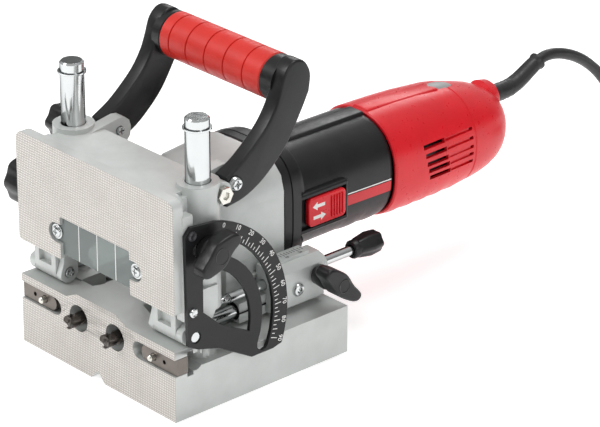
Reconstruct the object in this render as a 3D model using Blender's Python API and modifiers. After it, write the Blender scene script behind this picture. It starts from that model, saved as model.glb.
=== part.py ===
"""Twin-spindle dowelling joiner, modelled as an assembly of separate pieces.

Sizes are in millimetres. In this file y is counted back from the front face of the
base's head, x from the middle plane and z up from the sole; point() turns such a place
into metres about the middle of the sole.
"""

import math
from math import cos, pi, radians, sin

import bmesh
import bpy
from mathutils import Matrix, Vector

MM = 0.001
GAP = 0.3  # clearance between pieces that touch or seat
TINY = 0.0001  # merge distance, metres

# Base block
BASE_WIDTH = 135.0
BASE_DEPTH = 128.0
REAR_HEIGHT = 29.2
HEAD_DEPTH = 19.3
HEAD_HEIGHT = 43.0
HUMP_RISE = 4.5
HUMP_FLAT = 17.5
HUMP_FOOT = 27.0
HUMP_BACK_HALF = 17.5
HUMP_BACK_REAR = 33.0
NOTCH = 6.0
CHANNEL_HALF = 39.0
CHANNEL_FLOOR = 7.0

# Bits and index plates
BIT_PITCH = 32.0
BIT_HEIGHT = 33.0
BIT_RADIUS = 4.0
BIT_HOLE_RADIUS = 8.0
BIT_PROUD = 9.0
INDEX_INNER = 31.5
INDEX_PLATE_INNER = 37.5
INDEX_HEIGHT = 10.5
INDEX_DEPTH = 8.0
INDEX_SET_BACK = 1.3
INDEX_PIN_X = 48.0
INDEX_BORE_RADIUS = 5.5
INDEX_TEE_HEIGHT = 15.0
INDEX_TEE_WIDTH = 4.0

# Posts, carriage and guide rods
POST_X = 53.6
POST_Y = 30.0
POST_RADIUS = 7.0
POST_TOP = 169.6
POST_FOOT = 8.0
POST_BOSS_RADIUS = 9.5
POST_BOSS_TOP = 45.5
RING_Z = 162.5
ROD_X = 41.5
ROD_Z = 37.5
ROD_RADIUS = 4.0
ROD_START = 21.5
ROD_END = 100.0
SEAT_REAR = 36.0
CARRIAGE_BOSS_RADIUS = 12.0
CARRIAGE_BOTTOM = 58.0
CARRIAGE_TOP = 132.0
SHELF_TOP = 129.0
SHELF_THICK = 8.0
WALL_FRONT = 8.0
WALL_THICK = 6.5
WALL_BOTTOM = 66.0
SIGHT_HALF = 33.0
SIGHT_TOP = 93.0

# Tilting fence
FENCE_WIDTH = 136.0
FENCE_THICK = 7.0
FENCE_BOTTOM = 64.7
FENCE_TOP = 131.7
FENCE_CORNER = 5.0
HINGE_Y = 12.1
HINGE_Z = 49.7
BARREL_RADIUS = 6.4
PIN_RADIUS = 3.0
OUTER_LUG = (62.0, 66.8)
INNER_LUG = (38.5, 42.5)
WINDOW_HALF = 30.3
WINDOW_TOP = 90.8
EAR_X = 34.7
EAR_Z = 80.0
EAR_RADIUS = 5.6
QUADRANT_INNER = 69.2
QUADRANT_THICK = 2.3
QUADRANT_RADIUS = 66.5
SLOT_RADIUS = 52.0
SLOT_WIDTH = 8.2
STUD_Y = 19.2
STUD_Z = 101.2
STUD_RADIUS = 3.6

# Handle
GRIP_Y = 98.5
GRIP_Z = 169.5
GRIP_RADIUS = 13.6
GRIP_HALF = 44.0
ARM_INNER = 48.0
ARM_THICK = 10.4
HANDLE_EAR_THICK = 8.0
SCREW_Y = 52.0
SCREW_Z = 125.0
EAR_BOLT_Y = 40.0
EAR_BOLT_Z = 123.4
EAR_BOLT_REACH = 61.5
EAR_BOLT_RADIUS = 7.2

# Gear train and motor
MODULE = 1.0
PINION_TEETH = 12
IDLER_TEETH = 30
SPINDLE_TEETH = 24
BACKLASH = 0.5
GEAR_START = 84.0
GEAR_WIDTH = 10.0
CASE_HALF = 37.0
CASE_FRONT = 64.5
CASE_REAR = 107.0
CASE_BOTTOM = 9.0
CASE_TOP = 114.5
CASE_WALL = 3.0
EAR_LENGTH = 22.0
HOUSING_REAR = 198.0
COVER_END = 306.5
SHELL_WALL = 2.8
STROKE = 20.0

# Depth stop
DEPTH_X = 45.0
DEPTH_Z = 48.6
DEPTH_ROD_RADIUS = 3.0
DEPTH_TIP = 52.0
DEPTH_BLOCK = (84.0, 122.0)
DEPTH_BLOCK_OUTER = 54.0
DEPTH_KNOB = (151.0, 172.0)
DEPTH_KNOB_RADIUS = 7.4
DEPTH_LOCK_Y = 116.5

# Rack and pinion of the height adjuster
RACK_Z = 92.0
RACK_PINION_Y = 18.6
RACK_TEETH = 10
RACK_RUN = 42.0
RACK_PINION = (-58.5, -49.5)
HEIGHT_KNOB = (-86.0, -71.0)
HEIGHT_KNOB_RADIUS = 15.6
HEIGHT_LOCK_REACH = 80.0
HEIGHT_LOCK_RADIUS = 11.0

# Mains lead
CORD_RADIUS = 3.5
CORD_EXIT = (0.0, 306.5, 87.0)

SPRING_Z = 13.6
SPRING_RADIUS = 3.4
SPRING_TURNS = 7
SPRING_START = HEAD_DEPTH + 1.2
SPRING_END = 90.0
QUADRANT_SCREW_Y = 10.2
QUADRANT_SCREWS = (65.5, 111.0)
SLOT_ANGLES = (-22.5, 87.0)
SWITCH_RECESS = (122.0, 157.0)
SWITCH_HEIGHT = (65.6, 84.4)
VENT_LEVELS = (67, 72, 77, 82, 87)
VENT_RUN = (224.0, 241.0)
CORD_ROUTE = (
    (0, 350.0, 98.3), (0, 355, 99.4), (0, 361, 99.3), (0, 369, 97.6), (0, 378.5, 94.0),
    (0, 387.4, 89.2), (0, 396.5, 82.6), (1, 405.5, 73.6), (3, 416, 59.0), (7, 427, 42.0),
    (13, 438, 25.5), (21, 448, 13.0), (32, 458, 6.0), (45, 469, 3.9), (57, 477, 3.9),
    (66, 481.5, 3.9),
)
BOOT_ROUTE = ((0, 302, 87), (0, 311, 86.8), (0, 323.8, 87.2), (0, 335.2, 91.0),
              (0, 345, 96.2), (0, 349.6, 98.2))
COIL_MIDDLE = 41.9
COIL_CENTRE = (103.0, 536.0)
COIL_THICK = 21.2
PLUG_PLACE = (141.0, 564.0, 32.1)

PARTS = "twin_spindle_joiner"
CUTTERS = "cutters"

FINISHES = {
    "cast": ((0.58, 0.60, 0.58), 0.45, 0.15),
    "milled": ((0.66, 0.66, 0.64), 0.38, 0.85),
    "chrome": ((0.80, 0.80, 0.80), 0.08, 1.0),
    "steel": ((0.45, 0.42, 0.39), 0.30, 0.95),
    "black": ((0.02, 0.02, 0.022), 0.42, 0.0),
    "red": ((0.62, 0.02, 0.03), 0.35, 0.0),
    "grip": ((0.65, 0.06, 0.03), 0.55, 0.0),
    "clear": ((0.85, 0.88, 0.90), 0.06, 0.0),
    "brass": ((0.70, 0.52, 0.22), 0.30, 0.9),
    "iron": ((0.25, 0.25, 0.26), 0.45, 0.8),
    "bright": ((0.62, 0.60, 0.52), 0.28, 0.9),
}


# ---------------------------------------------------------------- scene and helpers


def clear_scene():
    """Remove every object, and make the two collections."""
    for obj in list(bpy.data.objects):
        bpy.data.objects.remove(obj, do_unlink=True)
    for name in (PARTS, CUTTERS):
        collection = bpy.data.collections.get(name) or bpy.data.collections.new(name)
        if collection.name not in bpy.context.scene.collection.children:
            bpy.context.scene.collection.children.link(collection)


def point(x, y, z):
    """The place x, y, z as metres about the middle of the sole."""
    return Vector((x, y - BASE_DEPTH / 2, z)) * MM


def material_for(name, finish):
    """A Principled material for one piece."""
    colour, roughness, metallic = FINISHES[finish]
    material = bpy.data.materials.new(name)
    material.use_nodes = True
    shader = material.node_tree.nodes["Principled BSDF"]
    shader.inputs["Base Color"].default_value = (*colour, 1.0)
    shader.inputs["Roughness"].default_value = roughness
    shader.inputs["Metallic"].default_value = metallic
    if finish == "clear":
        shader.inputs["Transmission Weight"].default_value = 0.9
    return material


def add_mesh(name, bm, collection=CUTTERS):
    """Turn a bmesh into an object, with its faces pointing out."""
    bmesh.ops.remove_doubles(bm, verts=bm.verts, dist=TINY / 10)
    bmesh.ops.recalc_face_normals(bm, faces=bm.faces)
    mesh = bpy.data.meshes.new(name)
    bm.to_mesh(mesh)
    bm.free()
    obj = bpy.data.objects.new(name, mesh)
    bpy.data.collections[collection].objects.link(obj)
    return obj


def evaluated_bmesh(obj):
    """The object's mesh as the viewport shows it, in world space; the object is removed."""
    graph = bpy.context.evaluated_depsgraph_get()
    mesh = bpy.data.meshes.new_from_object(obj.evaluated_get(graph))
    mesh.transform(obj.matrix_world)
    bm = bmesh.new()
    bm.from_mesh(mesh)
    bpy.data.objects.remove(obj, do_unlink=True)
    return bm


def axis_matrix(axis):
    """The turn that takes a drawing's x, y and height to the two across and one along axis."""
    columns = {
        "X": ((0, 1, 0), (0, 0, 1), (1, 0, 0)),
        "Y": ((1, 0, 0), (0, 0, 1), (0, -1, 0)),
        "Z": ((1, 0, 0), (0, 1, 0), (0, 0, 1)),
    }[axis]
    return Matrix(columns).transposed().to_4x4()


def arc(u, v, radius, start, end, steps=6):
    """Points on an arc about u, v, from start to end in degrees."""
    angles = [radians(start + (end - start) * i / steps) for i in range(steps + 1)]
    return [(u + radius * cos(a), v + radius * sin(a)) for a in angles]


def circle(u, v, radius, steps=20):
    """Points on a whole circle."""
    return arc(u, v, radius, 0, 360, steps)[:-1]


def rounded(corners, radius, steps=3):
    """A closed outline with each corner rounded; radius is one number or one per corner."""
    radii = radius if isinstance(radius, (list, tuple)) else [radius] * len(corners)
    outline = []
    for i, (corner, size) in enumerate(zip(corners, radii)):
        here = Vector(corner)
        back = (Vector(corners[i - 1]) - here).normalized()
        ahead = (Vector(corners[(i + 1) % len(corners)]) - here).normalized()
        if size <= 0:
            outline.append(tuple(here))
            continue
        half = back.angle(ahead) / 2
        run = size / math.tan(half)
        middle = here + (back + ahead).normalized() * size / sin(half)
        first, last = here + back * run - middle, here + ahead * run - middle
        turn = first.angle_signed(last)
        for k in range(steps + 1):
            spoke = Matrix.Rotation(-turn * k / steps, 2) @ first
            outline.append(tuple(middle + spoke))
    return outline


def rectangle(u0, u1, v0, v1):
    """The corners of a rectangle."""
    return [(u0, v0), (u1, v0), (u1, v1), (u0, v1)]


def plate(name, axis, start, end, outline, holes=(), collection=CUTTERS):
    """A flat outline, with holes, extruded along axis between two planes.

    Along X the outline holds y, z pairs; along Y x, z pairs; along Z x, y pairs.
    """
    curve = bpy.data.curves.new(name, "CURVE")
    curve.dimensions = "2D"
    curve.fill_mode = "BOTH"
    curve.extrude = abs(end - start) / 2 * MM
    for loop in (outline, *holes):
        spline = curve.splines.new("POLY")
        spline.points.add(len(loop) - 1)
        for knot, (u, v) in zip(spline.points, loop):
            knot.co = (u * MM, v * MM, 0.0, 1.0)
        spline.use_cyclic_u = True
    obj = bpy.data.objects.new(name, curve)
    bpy.data.collections[CUTTERS].objects.link(obj)
    middle = {"X": (1, 0, 0), "Y": (0, 1, 0), "Z": (0, 0, 1)}[axis]
    shift = Vector(middle) * (start + end) / 2 * MM + point(0, 0, 0)
    obj.matrix_world = Matrix.Translation(shift) @ axis_matrix(axis)
    bpy.context.view_layer.update()
    bm = evaluated_bmesh(obj)
    bmesh.ops.remove_doubles(bm, verts=bm.verts, dist=TINY / 5)
    return add_mesh(name, bm, collection)


def turned(name, axis, centre, profile, steps=20, ring=False, collection=CUTTERS):
    """A profile of (height, radius) pairs turned about an axis through centre.

    Heights are positions along the axis. A ring's profile closes on itself.
    """
    bm = bmesh.new()
    verts = [bm.verts.new((radius * MM, 0.0, height * MM)) for height, radius in profile]
    pairs = list(zip(verts, verts[1:])) + ([(verts[-1], verts[0])] if ring else [])
    for pair in pairs:
        bm.edges.new(pair)
    mesh = bpy.data.meshes.new(name)
    bm.to_mesh(mesh)
    bm.free()
    obj = bpy.data.objects.new(name, mesh)
    bpy.data.collections[CUTTERS].objects.link(obj)
    screw = obj.modifiers.new("Turn", "SCREW")
    screw.axis = "Z"
    screw.steps = steps
    screw.render_steps = steps
    screw.use_merge_vertices = True
    screw.merge_threshold = TINY / 5
    across = {"X": (0, 1, 1), "Y": (1, 0, 1), "Z": (1, 1, 0)}[axis]
    base = point(0, 0, 0) + Vector([c * k for c, k in zip(centre, across)]) * MM
    turn = {
        "X": Matrix.Rotation(pi / 2, 4, "Y"),
        "Y": Matrix.Rotation(-pi / 2, 4, "X"),
        "Z": Matrix.Identity(4),
    }[axis]
    obj.matrix_world = Matrix.Translation(base) @ turn
    bpy.context.view_layer.update()
    return add_mesh(name, evaluated_bmesh(obj), collection)


def rod(name, axis, centre, radius, start, end, steps=20, collection=CUTTERS):
    """A plain round bar between two planes."""
    profile = [(start, 0), (start, radius), (end, radius), (end, 0)]
    return turned(name, axis, centre, profile, steps, collection=collection)


def ring(name, axis, centre, inner, outer, start, end, steps=20, collection=CUTTERS):
    """A plain round ring between two planes."""
    profile = [(start, inner), (start, outer), (end, outer), (end, inner)]
    return turned(name, axis, centre, profile, steps, True, collection)


def box(name, x, y, z, collection=CUTTERS):
    """A box between three pairs of planes."""
    bm = bmesh.new()
    bmesh.ops.create_cube(bm, size=1.0)
    size = Vector((x[1] - x[0], y[1] - y[0], z[1] - z[0])) * MM
    bmesh.ops.scale(bm, vec=size, verts=bm.verts)
    middle = point(sum(x) / 2, sum(y) / 2, sum(z) / 2)
    bmesh.ops.translate(bm, vec=middle, verts=bm.verts)
    return add_mesh(name, bm, collection)


def tube(name, places, radius, resolution=2, collection=CUTTERS):
    """A round wire along places, with closed ends."""
    curve = bpy.data.curves.new(name, "CURVE")
    curve.dimensions = "3D"
    curve.bevel_depth = radius * MM
    curve.bevel_resolution = resolution
    curve.use_fill_caps = True
    spline = curve.splines.new("POLY")
    spline.points.add(len(places) - 1)
    for knot, place in zip(spline.points, places):
        knot.co = (*point(*place), 1.0)
    obj = bpy.data.objects.new(name, curve)
    bpy.data.collections[CUTTERS].objects.link(obj)
    bpy.context.view_layer.update()
    return add_mesh(name, evaluated_bmesh(obj), collection)


def loft(name, stations, collection=CUTTERS):
    """A closed skin through outlines, given as (y, [(x, z), ...]) with equal counts."""
    bm = bmesh.new()
    loops = []
    for y, outline in stations:
        verts = [bm.verts.new(point(x, y, z)) for x, z in outline]
        edges = [bm.edges.new((verts[i - 1], verts[i])) for i in range(len(verts))]
        loops.append((verts, edges))
    for (_, edges), (_, more) in zip(loops, loops[1:]):
        bmesh.ops.bridge_loops(bm, edges=edges + more)
    bm.faces.new(loops[0][0])
    bm.faces.new(loops[-1][0])
    return add_mesh(name, bm, collection)


def tunnel(half, top, bottom, corner, steps=3):
    """A rounded upright rectangle about x = 0, as x, z pairs."""
    corners = [(half, bottom), (half, top), (-half, top), (-half, bottom)]
    return rounded(corners, corner, steps)


def boolean(target, tool, operation):
    """Combine tool with target, and put the tool away."""
    modifier = target.modifiers.new(tool.name, "BOOLEAN")
    modifier.operation = operation
    modifier.solver = "EXACT"
    modifier.object = tool
    tool.hide_render = True
    tool.display_type = "WIRE"


def cut(target, *tools):
    """Take the tools' shapes out of target."""
    for tool in tools:
        boolean(target, tool, "DIFFERENCE")
    return target


def join(target, *tools):
    """Make the tools' shapes part of target."""
    for tool in tools:
        boolean(target, tool, "UNION")
    return target


def finish_piece(obj, finish, origin=None):
    """Put a finished piece in the parts collection, with its finish and its origin."""
    cutters, parts = bpy.data.collections[CUTTERS], bpy.data.collections[PARTS]
    if obj.name in cutters.objects:
        cutters.objects.unlink(obj)
        parts.objects.link(obj)
    obj.data.materials.clear()
    obj.data.materials.append(material_for(obj.name, finish))
    if origin:
        place = point(*origin)
        obj.data.transform(Matrix.Translation(-place))
        obj.location = place
    obj.data.shade_smooth()
    obj.data.set_sharp_from_angle(angle=radians(35))
    return obj


def sides():
    """The two sides, as a name and a sign."""
    return (("left", -1), ("right", 1))


def span(side, low, high):
    """The range low..high on the given side of the middle plane, in rising order."""
    return tuple(sorted((side * low, side * high)))


# ---------------------------------------------------------------- base


def head_outline():
    """The head's face: flat top with a raised middle, and a sighting notch below."""
    half = BASE_WIDTH / 2
    raised = HEAD_HEIGHT + HUMP_RISE
    return [
        (-half, 0), (-NOTCH, 0), (0, NOTCH), (NOTCH, 0), (half, 0),
        (half, HEAD_HEIGHT), (HUMP_FOOT, HEAD_HEIGHT), (HUMP_FLAT, raised),
        (-HUMP_FLAT, raised), (-HUMP_FOOT, HEAD_HEIGHT), (-half, HEAD_HEIGHT),
    ]


def make_base():
    """The base: head with bit holes, index slots and posts, and a rear body with a channel."""
    half = BASE_WIDTH / 2
    holes = [circle(s * BIT_PITCH / 2, BIT_HEIGHT, BIT_HOLE_RADIUS) for _, s in sides()]
    base = plate("base_block", "Y", 0, HEAD_DEPTH, head_outline(), holes)
    low = [(-half, 0), (half, 0), (half, REAR_HEIGHT), (CHANNEL_HALF, REAR_HEIGHT),
           (CHANNEL_HALF, CHANNEL_FLOOR), (-CHANNEL_HALF, CHANNEL_FLOOR),
           (-CHANNEL_HALF, REAR_HEIGHT), (-half, REAR_HEIGHT)]
    join(base, plate("rear_body", "Y", HEAD_DEPTH - 0.5, BASE_DEPTH, low))
    join(base, box("hump_back", (-HUMP_BACK_HALF, HUMP_BACK_HALF), (HEAD_DEPTH - 1, HUMP_BACK_REAR),
                   (BIT_HEIGHT + BIT_HOLE_RADIUS + 0.4, HEAD_HEIGHT + HUMP_RISE)))
    join(base, box("depth_stop_face", (DEPTH_X - 4.5, DEPTH_X + 1),
                   (HEAD_DEPTH + 0.2, DEPTH_TIP - STROKE - 1.0),
                   (HEAD_HEIGHT - 8, DEPTH_Z + 2.8)))
    block_rear = SEAT_REAR
    for name, side in sides():
        x = side * POST_X
        foot = rod(f"post_boss_{name}", "Z", (x, POST_Y, 0), POST_BOSS_RADIUS,
                   REAR_HEIGHT - 1, POST_BOSS_TOP, 20)
        seat = box(f"rod_seat_{name}", span(side, ROD_X - 5.5, POST_X),
                   (HEAD_DEPTH - 1, block_rear), (REAR_HEIGHT - 1, ROD_Z + 6.5))
        join(base, foot, seat)
        bore = rod(f"post_bore_{name}", "Z", (x, POST_Y, 0), POST_RADIUS + GAP,
                   POST_FOOT - GAP, POST_BOSS_TOP + 5)
        rod_bore = rod(f"rod_bore_{name}", "Y", (side * ROD_X, 0, ROD_Z), ROD_RADIUS + GAP,
                       ROD_START - GAP, block_rear + 5)
        slot = plate(
            f"index_slot_{name}", "Y", -1, INDEX_SET_BACK + INDEX_DEPTH + GAP,
            index_outline(side, INDEX_INNER, half + 5, INDEX_HEIGHT),
        )
        guide_y = INDEX_SET_BACK + INDEX_DEPTH + INDEX_BORE_RADIUS
        guide = rod(f"index_bore_{name}", "X", (0, guide_y, BIT_HEIGHT), INDEX_BORE_RADIUS,
                    *span(side, INDEX_PLATE_INNER, half + 5), 16)
        tee_y = INDEX_SET_BACK + INDEX_DEPTH
        tee = box(f"index_tee_{name}", span(side, INDEX_PLATE_INNER, half + 5),
                  (tee_y - 0.5, tee_y + INDEX_TEE_WIDTH),
                  (BIT_HEIGHT - INDEX_TEE_HEIGHT / 2, BIT_HEIGHT + INDEX_TEE_HEIGHT / 2))
        cut(base, bore, rod_bore, slot, guide, tee)
    finish_piece(base, "milled")


def index_outline(side, inner, outer, height):
    """A slot or plate in the head's face, round at its inner end."""
    radius = height / 2
    middle = inner + radius
    if side > 0:
        return [*arc(middle, BIT_HEIGHT, radius, 270, 90, 6),
                (outer, BIT_HEIGHT + radius), (outer, BIT_HEIGHT - radius)]
    return [*arc(-middle, BIT_HEIGHT, radius, -90, 90, 6),
            (-outer, BIT_HEIGHT + radius), (-outer, BIT_HEIGHT - radius)]


def make_posts():
    """The two upright posts, grooved for their snap rings; the left one holds the rack."""
    for name, side in sides():
        centre = (side * POST_X, POST_Y, 0)
        profile = [(POST_FOOT, 0), (POST_FOOT, POST_RADIUS), (RING_Z, POST_RADIUS),
                   (RING_Z, POST_RADIUS - 1), (RING_Z + 1.4, POST_RADIUS - 1),
                   (RING_Z + 1.4, POST_RADIUS), (POST_TOP - 1, POST_RADIUS),
                   (POST_TOP, POST_RADIUS - 1), (POST_TOP, 0)]
        post = turned(f"post_{name}", "Z", centre, profile)
        if side < 0:
            cut(post, rack_cutter())
        finish_piece(post, "chrome")
        clip = ring(f"snap_ring_{name}", "Z", centre, POST_RADIUS - 1 + GAP, POST_RADIUS + 1.2,
                    RING_Z + 0.2, RING_Z + 1.2)
        cut(clip, box(f"ring_gap_{name}", (centre[0] - 1.5, centre[0] + 1.5),
                      (POST_Y, POST_Y + 12), (RING_Z - 2, RING_Z + 3)))
        finish_piece(clip, "iron")


def rack_cutter():
    """The comb that leaves the rack's teeth on the front of the left post."""
    pitch = pi * MODULE
    root = RACK_PINION_Y + RACK_TEETH * MODULE / 2 + 1.25
    tip = root - 2.0
    count = int(RACK_RUN / pitch)
    start = RACK_Z - 2 * pitch
    comb = [(POST_Y - POST_RADIUS - 3, start - pitch)]
    comb.append((POST_Y - POST_RADIUS - 3, start + count * pitch))
    for i in reversed(range(count)):
        z = start + i * pitch
        comb += [(tip, z + 0.36 * pitch), (root, z + 0.24 * pitch),
                 (root, z - 0.24 * pitch), (tip, z - 0.36 * pitch)]
    comb.append((tip, start - pitch))
    return plate("rack_comb", "X", -POST_X - 9, -POST_X + 9, comb)


def make_guides():
    """The two guide rods that the plunge unit slides on, and its return spring."""
    for name, side in sides():
        guide = turned(f"guide_rod_{name}", "Y", (side * ROD_X, 0, ROD_Z),
                       [(ROD_START, 0), (ROD_START, ROD_RADIUS), (ROD_END - 1, ROD_RADIUS),
                        (ROD_END, ROD_RADIUS - 1), (ROD_END, 0)], 16)
        finish_piece(guide, "chrome")
    spring = tube("return_spring", spring_places(), 0.8, 1)
    finish_piece(spring, "steel", (0, HEAD_DEPTH, SPRING_Z))


def spring_places():
    """Points on the return spring's helix."""
    steps = 8 * SPRING_TURNS
    return [
        (SPRING_RADIUS * cos(2 * pi * i / 8),
         SPRING_START + (SPRING_END - SPRING_START) * i / steps,
         SPRING_Z + SPRING_RADIUS * sin(2 * pi * i / 8))
        for i in range(steps + 1)
    ]


def make_index_plates():
    """The two index plates, which slide out of the head, and their sprung pins."""
    height = INDEX_HEIGHT - 2 * GAP
    for name, side in sides():
        back = INDEX_SET_BACK + INDEX_DEPTH
        outline = index_outline(side, INDEX_PLATE_INNER, BASE_WIDTH / 2, height)
        middle = (side * INDEX_PIN_X, BIT_HEIGHT)
        small = (side * (INDEX_PIN_X + 9), BIT_HEIGHT)
        body = plate(f"index_plate_{name}", "Y", INDEX_SET_BACK, back, outline,
                     [circle(*middle, 2.3, 12), circle(*small, 1.3, 10)])
        finish_piece(body, "steel")
        centre = (side * INDEX_PIN_X, 0, BIT_HEIGHT)
        pin = turned(f"index_pin_{name}", "Y", centre,
                     [(-2.4, 0), (-2.4, 1.2), (-1.6, 2.0), (back - 0.5, 2.0),
                      (back - 0.5, 0)], 12)
        finish_piece(pin, "bright", centre)


# ---------------------------------------------------------------- carriage and fence


def lug_outline():
    """A hinge lug that reaches back and up from the hinge pin to the carriage."""
    return [*arc(HINGE_Y, HINGE_Z, BARREL_RADIUS, 150, 290, 6),
            (POST_Y - 4, HINGE_Z + 2), (POST_Y + 2, CARRIAGE_BOTTOM + 4),
            (POST_Y + 2, CARRIAGE_BOTTOM + 16), (POST_Y - 9, CARRIAGE_BOTTOM + 16),
            (HINGE_Y + 5, HINGE_Z + 9)]


def inner_lug_outline():
    """A hinge lug that goes straight up into the carriage's front wall."""
    return [*arc(HINGE_Y, HINGE_Z, BARREL_RADIUS, 190, 350, 6),
            (WALL_FRONT + WALL_THICK + 3, CARRIAGE_BOTTOM + 14),
            (WALL_FRONT + 0.4, CARRIAGE_BOTTOM + 14), (WALL_FRONT + 0.4, HINGE_Z + 7)]


def make_carriage():
    """The casting that slides up the posts: bosses, shelf, front wall, lugs and ears."""
    carriage = box("carriage_casting", (-POST_X, POST_X), (WALL_FRONT + 4, POST_Y + 11),
                   (SHELF_TOP - SHELF_THICK, SHELF_TOP))
    wall = plate("front_wall", "Y", WALL_FRONT, WALL_FRONT + WALL_THICK,
                 rounded([(-60, WALL_BOTTOM), (-SIGHT_HALF, WALL_BOTTOM),
                          (-SIGHT_HALF, SIGHT_TOP), (SIGHT_HALF, SIGHT_TOP),
                          (SIGHT_HALF, WALL_BOTTOM), (60, WALL_BOTTOM),
                          (60, SHELF_TOP), (-60, SHELF_TOP)], [3, 0, 4, 4, 0, 3, 6, 6]))
    join(carriage, wall)
    for name, side in sides():
        x = side * POST_X
        boss = rod(f"slide_boss_{name}", "Z", (x, POST_Y, 0), CARRIAGE_BOSS_RADIUS,
                   CARRIAGE_BOTTOM, CARRIAGE_TOP, 24)
        web = box(f"boss_web_{name}", (x - 4, x + 4), (WALL_FRONT + 2, POST_Y),
                  (WALL_BOTTOM + 1, SHELF_TOP - 2))
        outer = plate(f"outer_lug_{name}", "X", *span(side, *OUTER_LUG), lug_outline())
        inner = plate(f"inner_lug_{name}", "X", *span(side, *INNER_LUG), inner_lug_outline())
        ear = plate(f"handle_ear_{name}", "X",
                    *span(side, ARM_INNER - GAP - HANDLE_EAR_THICK, ARM_INNER - GAP),
                    rounded([(POST_Y, SCREW_Z - 12), (SCREW_Y + 8, SCREW_Z - 8),
                             (SCREW_Y + 8, SCREW_Z + 9), (POST_Y, SHELF_TOP)],
                            [0, 7, 7, 0]))
        bolt_ear = rod(f"bolt_ear_{name}", "X", (0, EAR_BOLT_Y, EAR_BOLT_Z), EAR_BOLT_RADIUS,
                       *span(side, POST_X - 1, EAR_BOLT_REACH), 16)
        join(carriage, boss, web, outer, inner, ear, bolt_ear)
    stud_boss = rod("stud_boss", "X", (0, STUD_Y, STUD_Z), 5.4, POST_X - 3, 68.4, 20)
    rack_box = box("rack_box", (-66.0, -45.0), (WALL_FRONT + 1, POST_Y - 4),
                   (RACK_Z - 10, RACK_Z + 10))
    join(carriage, stud_boss, rack_box)
    for name, side in sides():
        bore = rod(f"slide_bore_{name}", "Z", (side * POST_X, POST_Y, 0), POST_RADIUS + GAP,
                   CARRIAGE_BOTTOM - 20, CARRIAGE_TOP + 5)
        pin_bore = rod(f"pin_bore_{name}", "X", (0, HINGE_Y, HINGE_Z), PIN_RADIUS + GAP,
                       *span(side, 30, 75), 14)
        screw_bore = rod(f"screw_bore_{name}", "X", (0, SCREW_Y, SCREW_Z), 2.5 + GAP,
                         *span(side, 35, 75), 10)
        bolt_bore = rod(f"bolt_bore_{name}", "X", (0, EAR_BOLT_Y, EAR_BOLT_Z), 2.0 + GAP,
                        *span(side, POST_X + 1, 75), 10)
        spot = rod(f"bolt_spot_{name}", "X", (0, EAR_BOLT_Y, EAR_BOLT_Z), 6.0 if side > 0 else 9.0,
                   *span(side, EAR_BOLT_REACH, 80), 20)
        cut(carriage, bore, pin_bore, screw_bore, bolt_bore, spot)
    pinion_room = rod("pinion_room", "X", (0, RACK_PINION_Y, RACK_Z),
                      RACK_TEETH * MODULE / 2 + 1.8, -60.0, -47.5, 16)
    shaft_bore = rod("adjuster_bore", "X", (0, RACK_PINION_Y, RACK_Z), 3 + GAP, -75, -50, 14)
    stud_bore = rod("stud_bore", "X", (0, STUD_Y, STUD_Z), STUD_RADIUS + GAP,
                    POST_X + POST_RADIUS + 1, 75, 14)
    cut(carriage, pinion_room, shaft_bore, stud_bore)
    finish_piece(carriage, "cast")


def fence_arm_outline():
    """The arm from a hinge barrel up to the fence plate, clear of the head at full tilt."""
    return [*arc(HINGE_Y, HINGE_Z, BARREL_RADIUS, 180, 380, 7),
            (FENCE_THICK + 0.2, FENCE_BOTTOM), (FENCE_THICK, FENCE_BOTTOM + 8),
            (1, FENCE_BOTTOM + 8), (1, FENCE_BOTTOM + 1),
            (HINGE_Y - BARREL_RADIUS, HINGE_Z + 12.4)]


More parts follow.
